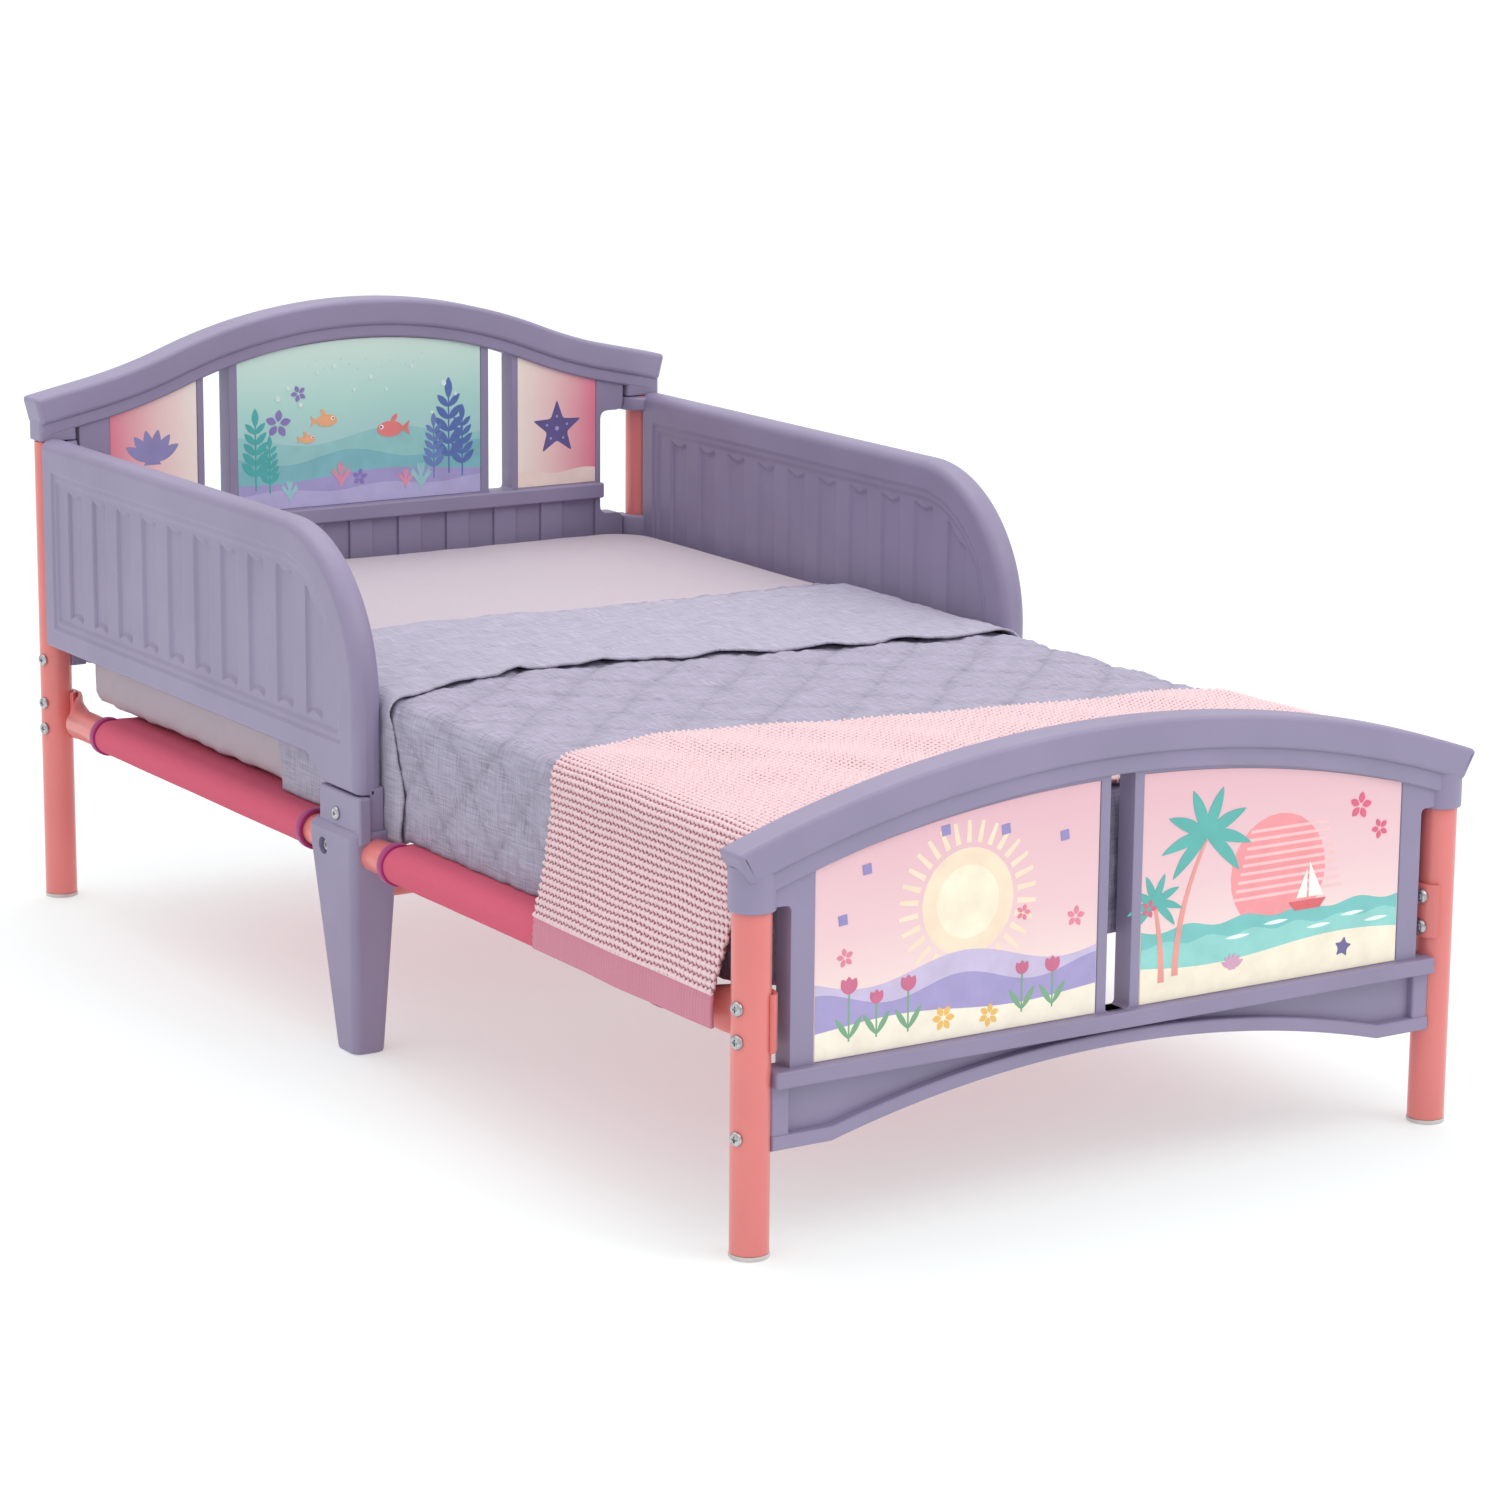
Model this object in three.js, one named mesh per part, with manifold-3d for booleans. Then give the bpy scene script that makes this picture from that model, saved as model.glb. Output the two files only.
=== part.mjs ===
// Toddler bed: four steel posts, a moulded headboard and footboard, two moulded
// guardrails on two centre legs, four steel side rails, a fabric deck and bedding.
// Millimetres. +X across the bed, +Y towards the headboard, +Z up. The origin is on
// the floor, under the middle of the bed.

import * as THREE from 'three'
import { mergeVertices } from 'three/addons/utils/BufferGeometryUtils.js'
import Module from 'manifold-3d'

const wasm = await Module()
wasm.setup()

// ---- driving dimensions -------------------------------------------------------

const GAP = 0.3
const FACETS = { tube: 16, post: 20, head: 10, hole: 8, crown: 20, arc: 6 }

const POST = { x: 345.5, y: 657, radius: 15.9, wall: 1.2, headTop: 470.1, footTop: 278.7 }
const CAP = { radius: 16.4, height: 4, spigot: 18 }
const SHOULDER_RADIUS = 19
const PLUG = { radius: 14.4, depth: 40 }

const BOLT_TURN = THREE.MathUtils.degToRad(16)
const BOLT = { shaft: 3, headRadius: 6, headHeight: 3, length: 43 }
const NUT = { radius: 6, height: 4.5, seat: 20.8, bore: 3.3 }
const SCREW = { shaft: 2.5, headRadius: 6, headHeight: 2.6, length: 42 }

const RAIL = { z: 190, radius: 15, wall: 1.2, boltSpread: 13.2 }
const RAIL_END = { straight: 597, flare: 625, plate: 641, plateX: 327, plateHalf: 2.1, height: 23.5 }
const SADDLE = { outer: 20.5, spread: THREE.MathUtils.degToRad(60) }
const JOINT_Y = { socket: -10, spigotEnd: 40, spigotRadius: 13.4 }
const CROSS_BAR = { y: 3, z: 150, radius: 11, wall: 1.2, halfLength: 330 }

const HEAD = {
  peak: 594.5, arc: 590, shoulderX: 215, sweep: 550, tailSlope: 12,
  halfTop: 367, halfBottom: 366, bandDepth: 28, friezeDepth: 40,
  bandFront: 639.8, bandBack: 676.5, friezeFront: 643.5, friezeBack: 673,
  panelFront: 647.2, panelBack: 670, panelHalf: 318, panelBottom: 240,
  artFloor: 649.3, artHalf: 142.6, sideArt: [187.5, 284.4], artBottom: 380.4, artDepth: 41,
  slot: [152, 180], gap: { x: 290, low: 345, high: 457, round: 8 },
  ledge: { half: 292, front: 641.5, low: 363, high: 379.4 },
  bead: { period: 57.6, width: 21, count: 4, floor: 652, face: 648.8, low: 250 },
  ear: { x: [316, 334], y: [646, 671], z: [240, 300] },
  screwZ: 247.8,
}

const FOOT = {
  peak: 391.5, arc: 1100,
  halfTop: 370.5, halfBottom: 366, bandDepth: 28, friezeDepth: 43,
  bandFront: -676.5, bandBack: -643.5, friezeFront: -672, friezeBack: -645,
  panelFront: -668.5, panelBack: -647, panelHalf: 316.9, artFloor: -666.2,
  art: [21.7, 294.8], artDepth: 46, slotHalf: 12,
  gapTop: 281, ledge: { half: 333, front: -676, low: 137, high: 151 },
  apron: { half: 333, flat: 277, low: 86, rise: 36, front: -661, back: -649 },
  lip: { height: 12, front: -670, back: -648 },
  ear: { x: [316, 334], y: [-668, -646], z: [90, 137] },
  screwZ: 99,
}

const ART_THICKNESS = 0.9

const GUARD = {
  outer: 364, inner: 336, lap: 350.3, head: 637.5, foot: -37, top: 474, bottom: 265,
  arc: 147, arcCentre: [110, 327], tab: { low: 245, y: 21, curveY: 66 },
  lapTab: { low: 207, y: 30 },
  recess: { depth: 4, low: 290, high: 440, head: 612, arc: 113 },
  collar: { radius: 27, back: 668, upper: [455.6, 470.1], lower: [313, 341] },
}

const LEG = {
  bottom: { z: 0, x: [325, 357], y: [-16, 22] },
  waist: { z: 190, x: [321, 369.5], y: [-38, 46] },
  shoulder: { z: 206, x: [320.5, 370], y: [-40, 47] },
  top: { z: 212, x: [320.5, 364], y: [-40, 46] },
  corner: 7,
  tongue: { x: [351, 363.5], y: [-42, 36], z: [200, 243.5] },
  pocket: { x: [310, 352], y: [-9, 15], z: [12, 128] },
  screw: { y: 2, z: 222 }, bolt: { y: 18, z: 190, recess: 8, seat: 363.5 },
}

const DECK = { outer: 16.8, inner: 15.3, near: 79, far: 531 }
const MATTRESS = { half: 325, foot: -632, head: 637, low: 207.5, top: 323, corner: 48 }
const SHEET = { thickness: 1.8, low: 215 }
const QUILT = { half: 333.5, foot: -641, head: 245, low: 215, top: 331, cuffTop: 337, cuffFoot: -40 }
const THROW = { thickness: 4.6, foot: -632, head: -300, shelf: 226, railX: 362.4, railTop: 204, hem: 177 }

// ---- materials ----------------------------------------------------------------

const finish = (color, roughness, metalness = 0) =>
  new THREE.MeshStandardMaterial({ color, roughness, metalness })
const LAVENDER = finish(0x8d82a0, 0.45)
const CORAL = finish(0xdc7a76, 0.4)
const CLEAR_WHITE = finish(0xd8d4d2, 0.5)
const ZINC = finish(0xc4c6ca, 0.3, 1)
const TEAL_PRINT = finish(0xa6d6cd, 0.4)
const PINK_PRINT = finish(0xf0bcc4, 0.4)
const SLEEVE = finish(0xd7607a, 0.7)
const FOAM = finish(0xf2eeea, 0.9)
const SHEET_CLOTH = finish(0xd7c8d2, 0.9)
const QUILT_CLOTH = finish(0xa8a3c0, 0.95)
const THROW_KNIT = finish(0xf2c8cf, 0.95)

// ---- solids -------------------------------------------------------------------

/** Signed volume of a closed indexed geometry, positive when its faces point out. */
function signedVolume(geometry) {
  const at = (i) => new THREE.Vector3().fromBufferAttribute(geometry.attributes.position, geometry.index.getX(i))
  let volume = 0
  for (let i = 0; i < geometry.index.count; i += 3) volume += at(i).dot(at(i + 1).cross(at(i + 2))) / 6
  return volume
}

/** The geometry with merged vertices and its faces pointing out, as a boolean solid. */
function solid(geometry) {
  const bare = geometry.clone()
  bare.deleteAttribute('normal')
  bare.deleteAttribute('uv')
  const merged = mergeVertices(bare, 1e-3)
  const triVerts = Uint32Array.from(merged.index.array)
  if (signedVolume(merged) < 0) {
    for (let i = 0; i < triVerts.length; i += 3) [triVerts[i], triVerts[i + 1]] = [triVerts[i + 1], triVerts[i]]
  }
  const vertProperties = Float32Array.from(merged.attributes.position.array)
  return new wasm.Manifold(new wasm.Mesh({ numProp: 3, vertProperties, triVerts }))
}

/** The boolean solid as a three.js geometry. */
function geometryOf(shape) {
  const mesh = shape.getMesh()
  const geometry = new THREE.BufferGeometry()
  geometry.setAttribute('position', new THREE.BufferAttribute(Float32Array.from(mesh.vertProperties), 3))
  geometry.setIndex(new THREE.BufferAttribute(Uint32Array.from(mesh.triVerts), 1))
  geometry.computeVertexNormals()
  return geometry
}

const join = (first, ...rest) => rest.reduce((whole, next) => whole.add(next), first)
const cut = (first, ...rest) => rest.reduce((whole, next) => whole.subtract(next), first)

const span = ([a, b]) => [Math.min(a, b), Math.max(a, b)]

function block(xs, ys, zs) {
  const [[x0, x1], [y0, y1], [z0, z1]] = [span(xs), span(ys), span(zs)]
  const geometry = new THREE.BoxGeometry(x1 - x0, y1 - y0, z1 - z0)
  return solid(geometry.translate((x0 + x1) / 2, (y0 + y1) / 2, (z0 + z1) / 2))
}

/** A cylinder along 'x', 'y' or 'z', from one place to another along that axis. */
function rod(axis, [from, to], radius, centre, sides = FACETS.tube) {
  const geometry = new THREE.CylinderGeometry(radius, radius, to - from, sides)
  if (axis === 'x') geometry.rotateZ(-Math.PI / 2)
  if (axis === 'z') geometry.rotateX(Math.PI / 2)
  const place = new THREE.Vector3(...centre)
  place[axis] = (from + to) / 2
  return solid(geometry.translate(place.x, place.y, place.z))
}

const ON_XZ = new THREE.Matrix4().makeRotationX(Math.PI / 2)
const ON_YZ = new THREE.Matrix4().makeBasis(
  new THREE.Vector3(0, 1, 0), new THREE.Vector3(0, 0, 1), new THREE.Vector3(1, 0, 0))

const outline = (points) => new THREE.Shape(points.map(([u, v]) => new THREE.Vector2(u, v)))

function extruded(shape, depth) {
  return new THREE.ExtrudeGeometry(shape, { depth, bevelEnabled: false, curveSegments: FACETS.arc })
}

/** An outline in X and Z, extruded along Y between two places. */
function slabXZ(shape, ys) {
  const [y0, y1] = span(ys)
  return solid(extruded(shape, y1 - y0).applyMatrix4(ON_XZ).translate(0, y1, 0))
}

/** An outline in Y and Z, extruded along X between two places. */
function slabYZ(shape, xs) {
  const [x0, x1] = span(xs)
  return solid(extruded(shape, x1 - x0).applyMatrix4(ON_YZ).translate(x0, 0, 0))
}

/** An outline in X and Y, extruded along Z between two places. */
function slabXY(shape, [z0, z1]) {
  return solid(extruded(shape, z1 - z0).translate(0, 0, z0))
}

/** A rounded rectangle between two corners. */
function roundedRect([x0, x1], [y0, y1], radius) {
  const shape = new THREE.Shape()
  shape.absarc(x1 - radius, y0 + radius, radius, -Math.PI / 2, 0)
  shape.absarc(x1 - radius, y1 - radius, radius, 0, Math.PI / 2)
  shape.absarc(x0 + radius, y1 - radius, radius, Math.PI / 2, Math.PI)
  shape.absarc(x0 + radius, y0 + radius, radius, Math.PI, Math.PI * 1.5)
  return shape
}

/** A closed skin through rings of equally many points, with flat ends. */
function loft(rings) {
  const count = rings[0].length
  const positions = rings.flat().flatMap((point) => [point.x, point.y, point.z])
  const index = []
  for (let r = 0; r + 1 < rings.length; r += 1) {
    for (let i = 0; i < count; i += 1) {
      const [a, b] = [r * count + i, r * count + ((i + 1) % count)]
      index.push(a, b, b + count, a, b + count, a + count)
    }
  }
  const last = (rings.length - 1) * count
  for (let i = 1; i + 1 < count; i += 1) index.push(0, i + 1, i, last, last + i, last + i + 1)
  const geometry = new THREE.BufferGeometry()
  geometry.setAttribute('position', new THREE.Float32BufferAttribute(positions, 3))
  geometry.setIndex(index)
  return solid(geometry)
}

// ---- the group of named pieces ------------------------------------------------

const bed = new THREE.Group()

function addPiece(name, shape, material) {
  const mesh = new THREE.Mesh(geometryOf(shape), material)
  mesh.name = name
  bed.add(mesh)
  return mesh
}

const SIDES = [{ side: 'left', sx: -1 }, { side: 'right', sx: 1 }]
const ENDS = [{ end: 'head', sy: 1 }, { end: 'foot', sy: -1 }]
const CORNERS = ENDS.flatMap(({ end, sy }) => SIDES.map(({ side, sx }) => ({ end, sy, side, sx })))

const atSide = (sx, xs) => xs.map((x) => sx * x)

/** A rod through a post at a height, along the line that its bolts share. */
function throughPost({ sx, sy }, z, [from, to], radius) {
  const geometry = new THREE.CylinderGeometry(radius, radius, to - from, FACETS.hole)
  geometry.rotateZ(-Math.PI / 2).translate((from + to) / 2, 0, 0)
  geometry.rotateZ(BOLT_TURN + (sx > 0 ? Math.PI : 0)).translate(sx * POST.x, sy * POST.y, z)
  return solid(geometry)
}

/** Places a fastener, built along +X from its own post's axis, in its post. */
function placeInPost(mesh, { sx, sy }, z) {
  mesh.rotation.z = BOLT_TURN + (sx > 0 ? Math.PI : 0)
  mesh.position.set(sx * POST.x, sy * POST.y, z)
}

const boltHeights = [RAIL.z + RAIL.boltSpread, RAIL.z - RAIL.boltSpread]
const shellScrewZ = (end) => (end === 'head' ? HEAD.screwZ : FOOT.screwZ)
const postWell = ({ sx, sy }) =>
  rod('z', [-10, 520], POST.radius + GAP, [sx * POST.x, sy * POST.y, 0], FACETS.post)

// ---- posts and their foot caps ------------------------------------------------

function makePost(corner) {
  const centre = [corner.sx * POST.x, corner.sy * POST.y, 0]
  const top = corner.end === 'head' ? POST.headTop : POST.footTop
  const tube = rod('z', [CAP.height + GAP, top], POST.radius, centre, FACETS.post)
  const bore = rod('z', [-10, 520], POST.radius - POST.wall, centre, FACETS.post)
  const boltHoles = boltHeights.map((z) => throughPost(corner, z, [-30, 30], BOLT.shaft + GAP))
  const screwHole = throughPost(corner, shellScrewZ(corner.end), [-30, 30], SCREW.shaft + GAP)
  return cut(tube, bore, ...boltHoles, screwHole)
}

function makeFootCap({ sx, sy }) {
  const centre = [sx * POST.x, sy * POST.y, 0]
  const pad = rod('z', [0, CAP.height], CAP.radius, centre, FACETS.post)
  const spigot = rod('z', [CAP.height - 1, CAP.height + CAP.spigot], POST.radius - POST.wall - GAP, centre, FACETS.post)
  return join(pad, spigot)
}

for (const corner of CORNERS) {
  addPiece(`post_${corner.end}_${corner.side}`, makePost(corner), CORAL)
  addPiece(`foot_cap_${corner.end}_${corner.side}`, makeFootCap(corner), CLEAR_WHITE)
}

// ---- fasteners ----------------------------------------------------------------

/** A domed head and a round shaft along +X; the head's underside is at seat. */
function headedPin({ shaft, headRadius, headHeight, length }, seat) {
  const profile = [
    [0, seat - headHeight], [headRadius * 0.65, seat - headHeight * 0.85], [headRadius, seat - headHeight * 0.25],
    [headRadius, seat], [shaft, seat], [shaft, seat + length], [0, seat + length],
  ]
  const geometry = new THREE.LatheGeometry(profile.map(([r, at]) => new THREE.Vector2(r, at)), FACETS.head)
  return solid(geometry.rotateZ(-Math.PI / 2))
}

function hexNut() {
  const body = rod('x', [NUT.seat + GAP, NUT.seat + NUT.height], NUT.radius, [0, 0, 0], 6)
  return cut(body, rod('x', [0, 60], NUT.bore, [0, 0, 0], FACETS.hole))
}

for (const corner of CORNERS) {
  boltHeights.forEach((z, row) => {
    const label = `${corner.end}_${corner.side}_${row === 0 ? 'upper' : 'lower'}`
    const bolt = headedPin(BOLT, -POST.radius - GAP)
    placeInPost(addPiece(`rail_bolt_${label}`, bolt, ZINC), corner, z)
    placeInPost(addPiece(`rail_nut_${label}`, hexNut(), ZINC), corner, z)
  })
  const screw = headedPin(SCREW, -POST.radius - GAP)
  placeInPost(addPiece(`${corner.end}board_screw_${corner.side}`, screw, ZINC), corner, shellScrewZ(corner.end))
}

// ---- top curves of the headboard and footboard --------------------------------

/** Height of the headboard's crown: an arc that sweeps out into straight tails. */
function headCrown(x) {
  const reach = Math.abs(x)
  const arcDrop = (at) => HEAD.arc - Math.sqrt(HEAD.arc ** 2 - at ** 2)
  if (reach <= HEAD.shoulderX) return HEAD.peak - arcDrop(reach)
  const start = Math.asin(HEAD.shoulderX / HEAD.arc)
  const end = THREE.MathUtils.degToRad(HEAD.tailSlope)
  const sweepWidth = HEAD.sweep * (Math.sin(start) - Math.sin(end))
  const turned = Math.sin(start) - Math.min(reach - HEAD.shoulderX, sweepWidth) / HEAD.sweep
  const sweepDrop = HEAD.sweep * (Math.sqrt(1 - turned ** 2) - Math.cos(start))
  const tail = Math.max(reach - HEAD.shoulderX - sweepWidth, 0) * Math.tan(end)
  return HEAD.peak - arcDrop(HEAD.shoulderX) - sweepDrop - tail
}

/** Height of the footboard's crown: one arc. */
const footCrown = (x) => FOOT.peak - FOOT.arc + Math.sqrt(FOOT.arc ** 2 - x ** 2)

/** The point at a depth below a crown, measured square to it. */
function below(crown, x, depth) {
  const slope = crown(x + 0.5) - crown(x - 0.5)
  const length = Math.hypot(1, slope)
  return [x + (depth * slope) / length, crown(x) - depth / length]
}

/** Points along a crown at a depth, from one X to another. */
function crownLine(crown, from, to, depth, steps) {
  return Array.from({ length: steps + 1 }, (_, i) => below(crown, from + ((to - from) * i) / steps, depth))
}

/** The outline between two depths below a crown, with slanted ends. */
function crownBand(crown, halfTop, halfBottom, shallow, deep) {
  const upper = crownLine(crown, halfTop, -halfTop, shallow, FACETS.crown)
  const lower = crownLine(crown, -halfBottom, halfBottom, deep, FACETS.crown)
  return outline([...upper, ...lower])
}

/** The outline from a floor line up to a depth below a crown, between two X values. */
function underCrown(crown, [x0, x1], floor, depth, steps = FACETS.crown / 2) {
  const at = (x) => [x, below(crown, x, depth)[1]]
  const top = Array.from({ length: steps + 1 }, (_, i) => at(x1 + ((x0 - x1) * i) / steps))
  return outline([[x0, floor], [x1, floor], ...top])
}

// ---- headboard ----------------------------------------------------------------

/** The collar that rests on a post's end and the plug that fills its bore. */
function postFitting({ sx, sy }, top, shoulderTop) {
  const centre = [sx * POST.x, sy * POST.y, 0]
  const shoulder = rod('z', [top + GAP, shoulderTop], SHOULDER_RADIUS, centre, FACETS.post)
  const plug = rod('z', [top - PLUG.depth, top + 2], PLUG.radius, centre, FACETS.post)
  return join(shoulder, plug)
}

const headCorners = CORNERS.filter(({ end }) => end === 'head')
const footCorners = CORNERS.filter(({ end }) => end === 'foot')

function headPanel() {
  const { gap, slot, bead } = HEAD
  const panel = slabXZ(underCrown(headCrown, [-HEAD.panelHalf, HEAD.panelHalf], HEAD.panelBottom, HEAD.friezeDepth - 2),
    [HEAD.panelFront, HEAD.panelBack])
  const through = [HEAD.panelFront - 5, HEAD.panelBack + 5]
  const sideGap = (sx) => slabXZ(roundedRect(span(atSide(sx, [gap.x, 340])), [gap.low, gap.high], gap.round), through)
  const sideSlot = (sx) => slabXZ(underCrown(headCrown, span(atSide(sx, slot)), HEAD.ledge.high, HEAD.friezeDepth, 3), through)
  const cuts = [-1, 1].flatMap((sx) => [sideGap(sx), sideSlot(sx)])
  const beadField = block([-284, 284], [HEAD.panelFront - 5, bead.floor], [bead.low, HEAD.ledge.low + 2])
  return cut(panel, ...cuts, beadField)
}

function headBeads() {
  const { bead, ledge } = HEAD
  const places = Array.from({ length: 2 * bead.count + 1 }, (_, i) => (i - bead.count) * bead.period)
  return places.map((x) => block([x - bead.width / 2, x + bead.width / 2], [bead.face, bead.floor + 1],
    [bead.low - 1, ledge.low + 1]))
}

const artOpenings = {
  headboard_art_left: [headCrown, [-HEAD.sideArt[1], -HEAD.sideArt[0]], HEAD.artBottom, HEAD.artDepth],
  headboard_art_centre: [headCrown, [-HEAD.artHalf, HEAD.artHalf], HEAD.artBottom, HEAD.artDepth],
  headboard_art_right: [headCrown, HEAD.sideArt, HEAD.artBottom, HEAD.artDepth],
  footboard_art_left: [footCrown, [-FOOT.art[1], -FOOT.art[0]], FOOT.ledge.high + 0.5, FOOT.artDepth],
  footboard_art_right: [footCrown, FOOT.art, FOOT.ledge.high + 0.5, FOOT.artDepth],
}

function makeHeadboard() {
  const { ear, ledge } = HEAD
  const band = slabXZ(crownBand(headCrown, HEAD.halfTop, HEAD.halfBottom, 0, HEAD.bandDepth), [HEAD.bandFront, HEAD.bandBack])
  const frieze = slabXZ(crownBand(headCrown, HEAD.halfTop - 4, HEAD.halfBottom - 5, HEAD.bandDepth - 1, HEAD.friezeDepth),
    [HEAD.friezeFront, HEAD.friezeBack])
  const shelf = block([-ledge.half, ledge.half], [ledge.front, HEAD.panelFront + 3], [ledge.low, ledge.high])
  const ears = [-1, 1].map((sx) => block(atSide(sx, ear.x), ear.y, ear.z))
  const fittings = headCorners.map((corner) => postFitting(corner, POST.headTop, 490))
  const body = join(headPanel(), band, frieze, shelf, ...headBeads(), ...ears)
  const recesses = Object.keys(artOpenings).filter((name) => name.startsWith('head'))
    .map((name) => slabXZ(underCrown(...artOpenings[name]), [HEAD.panelFront - 1, HEAD.artFloor]))
  const wells = headCorners.map((corner) => cut(postWell(corner), block([-400, 400], [600, 700], [POST.headTop + GAP, 600])))
  const screwHoles = headCorners.map((corner) => throughPost(corner, HEAD.screwZ, [0, 30], SCREW.shaft + GAP))
  return join(cut(body, ...recesses, ...wells, ...screwHoles), ...fittings)
}

// ---- footboard ----------------------------------------------------------------

/** Height of the apron's lower edge: flat ends and a low arch between them. */
function apronEdge(x) {
  const { flat, low, rise } = FOOT.apron
  const radius = (flat ** 2 + rise ** 2) / (2 * rise)
  if (Math.abs(x) >= flat) return low
  return low + rise - radius + Math.sqrt(radius ** 2 - x ** 2)
}

function apronOutline(top) {
  const { half, flat } = FOOT.apron
  const arch = Array.from({ length: FACETS.crown + 1 }, (_, i) => -flat + (2 * flat * i) / FACETS.crown)
  const places = [-half, ...arch, half]
  return outline([...places.map((x) => [x, apronEdge(x)]), ...places.reverse().map((x) => [x, top(x)])])
}

function footPanel() {
  const { ledge, panelHalf, gapTop } = FOOT
  const ys = [FOOT.panelFront, FOOT.panelBack]
  const panel = slabXZ(underCrown(footCrown, [-panelHalf, panelHalf], ledge.low + 1, FOOT.friezeDepth - 2), ys)
  const shoulders = [-1, 1].map((sx) => slabXZ(
    underCrown(footCrown, span(atSide(sx, [panelHalf - 6, 334])), gapTop, FOOT.friezeDepth - 2, 3), ys))
  const slot = slabXZ(underCrown(footCrown, [-FOOT.slotHalf, FOOT.slotHalf], ledge.high, FOOT.friezeDepth, 3),
    [FOOT.panelFront - 5, FOOT.panelBack + 5])
  return cut(join(panel, ...shoulders), slot)
}

function makeFootboard() {
  const { ledge, apron, lip, ear } = FOOT
  const band = slabXZ(crownBand(footCrown, FOOT.halfTop, FOOT.halfBottom, 0, FOOT.bandDepth), [FOOT.bandFront, FOOT.bandBack])
  const frieze = slabXZ(crownBand(footCrown, FOOT.halfTop - 6, FOOT.halfBottom - 5, FOOT.bandDepth - 1, FOOT.friezeDepth),
    [FOOT.friezeFront, FOOT.friezeBack])
  const shelf = block([-ledge.half, ledge.half], [ledge.front, FOOT.panelBack], [ledge.low, ledge.high])
  const skirt = slabXZ(apronOutline(() => ledge.low + 1), [apron.front, apron.back])
  const rim = slabXZ(apronOutline((x) => apronEdge(x) + lip.height), [lip.front, lip.back])
  const ears = [-1, 1].map((sx) => block(atSide(sx, ear.x), ear.y, ear.z))
  const fittings = footCorners.map((corner) => postFitting(corner, POST.footTop, 315))
  const body = join(footPanel(), band, frieze, shelf, skirt, rim, ...ears)
  const recesses = Object.keys(artOpenings).filter((name) => name.startsWith('foot'))
    .map((name) => slabXZ(underCrown(...artOpenings[name]), [FOOT.panelFront - 1, FOOT.artFloor]))
  const wells = footCorners.map((corner) => cut(postWell(corner), block([-400, 400], [-700, -600], [POST.footTop + GAP, 600])))
  const screwHoles = footCorners.map((corner) => throughPost(corner, FOOT.screwZ, [0, 30], SCREW.shaft + GAP))
  return join(cut(body, ...recesses, ...wells, ...screwHoles), ...fittings)
}

addPiece('headboard_shell', makeHeadboard(), LAVENDER)
addPiece('footboard_shell', makeFootboard(), LAVENDER)

// ---- printed panels -----------------------------------------------------------

for (const [name, [crown, [x0, x1], floor, depth]] of Object.entries(artOpenings)) {
  const back = (name.startsWith('head') ? HEAD : FOOT).artFloor - GAP
  const sheet = underCrown(crown, [x0 + GAP, x1 - GAP], floor + GAP, depth + GAP)
  addPiece(name, slabXZ(sheet, [back - ART_THICKNESS, back]), name.includes('centre') ? TEAL_PRINT : PINK_PRINT)
}

// ---- guardrails ---------------------------------------------------------------

/** The guardrail's outline, or its recess's when inset, in Y and Z. */
function guardOutline() {
  const { head, foot, top, bottom, arc, arcCentre, tab } = GUARD
  const shape = new THREE.Shape()
  shape.moveTo(head, bottom)
  shape.lineTo(head, top)
  shape.lineTo(arcCentre[0], top)
  shape.absarc(arcCentre[0], arcCentre[1], arc, Math.PI / 2, Math.PI, false)
  shape.lineTo(foot, tab.low)
  shape.lineTo(tab.y, tab.low)
  shape.bezierCurveTo(tab.y + 24, tab.low, tab.curveY - 24, bottom, tab.curveY, bottom)
  return shape
}

function recessOutline() {
  const { low, high, head, arc } = GUARD.recess
  const shape = new THREE.Shape()
  shape.moveTo(head, low)
  shape.lineTo(head, high)
  shape.lineTo(GUARD.arcCentre[0], high)
  shape.absarc(GUARD.arcCentre[0], GUARD.arcCentre[1], arc, Math.PI / 2, Math.PI, false)
  shape.lineTo(GUARD.arcCentre[0] - arc, low)
  return shape
}

/** Two collars that hook round the bed side of the head post. */
function guardCollars(sx) {
  const { radius, back, upper, lower } = GUARD.collar
  const outerSide = block(atSide(sx, [GUARD.lap, 400]), [GUARD.head, 700], [200, 500])
  const behind = block([-400, 400], [back, 720], [200, 500])
  return [upper, lower].map((zs) => cut(rod('z', zs, radius, [sx * POST.x, POST.y, 0], FACETS.post), outerSide, behind))
}

function makeGuardrail(sx) {
  const { outer, inner, lap, foot, tab, lapTab, recess } = GUARD
  const slab = slabYZ(guardOutline(), atSide(sx, [inner, outer]))
  const backTab = block(atSide(sx, [inner, lap]), [foot, lapTab.y], [lapTab.low, tab.low + 2])
  const outerRecess = slabYZ(recessOutline(), atSide(sx, [outer - recess.depth, outer + 5]))
  const innerRecess = slabYZ(recessOutline(), atSide(sx, [inner - 5, inner + recess.depth]))
  const well = postWell({ sx, sy: 1 })
  const screwHole = rod('x', span(atSide(sx, [inner - 5, outer])), SCREW.shaft + GAP, [0, LEG.screw.y, LEG.screw.z], FACETS.hole)
  return cut(join(slab, backTab, ...guardCollars(sx)), outerRecess, innerRecess, well, screwHole)
}

for (const { side, sx } of SIDES) addPiece(`guardrail_${side}`, makeGuardrail(sx), LAVENDER)

// ---- centre legs and their screws ---------------------------------------------

/** A rounded rectangle of points at a height, for the leg's loft. */
function legRing(sx, { z, x, y }) {
  const ring = roundedRect(span(atSide(sx, x)), y, LEG.corner).getPoints(3)
  return ring.slice(0, -1).map((point) => new THREE.Vector3(point.x, point.y, z))
}

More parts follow.
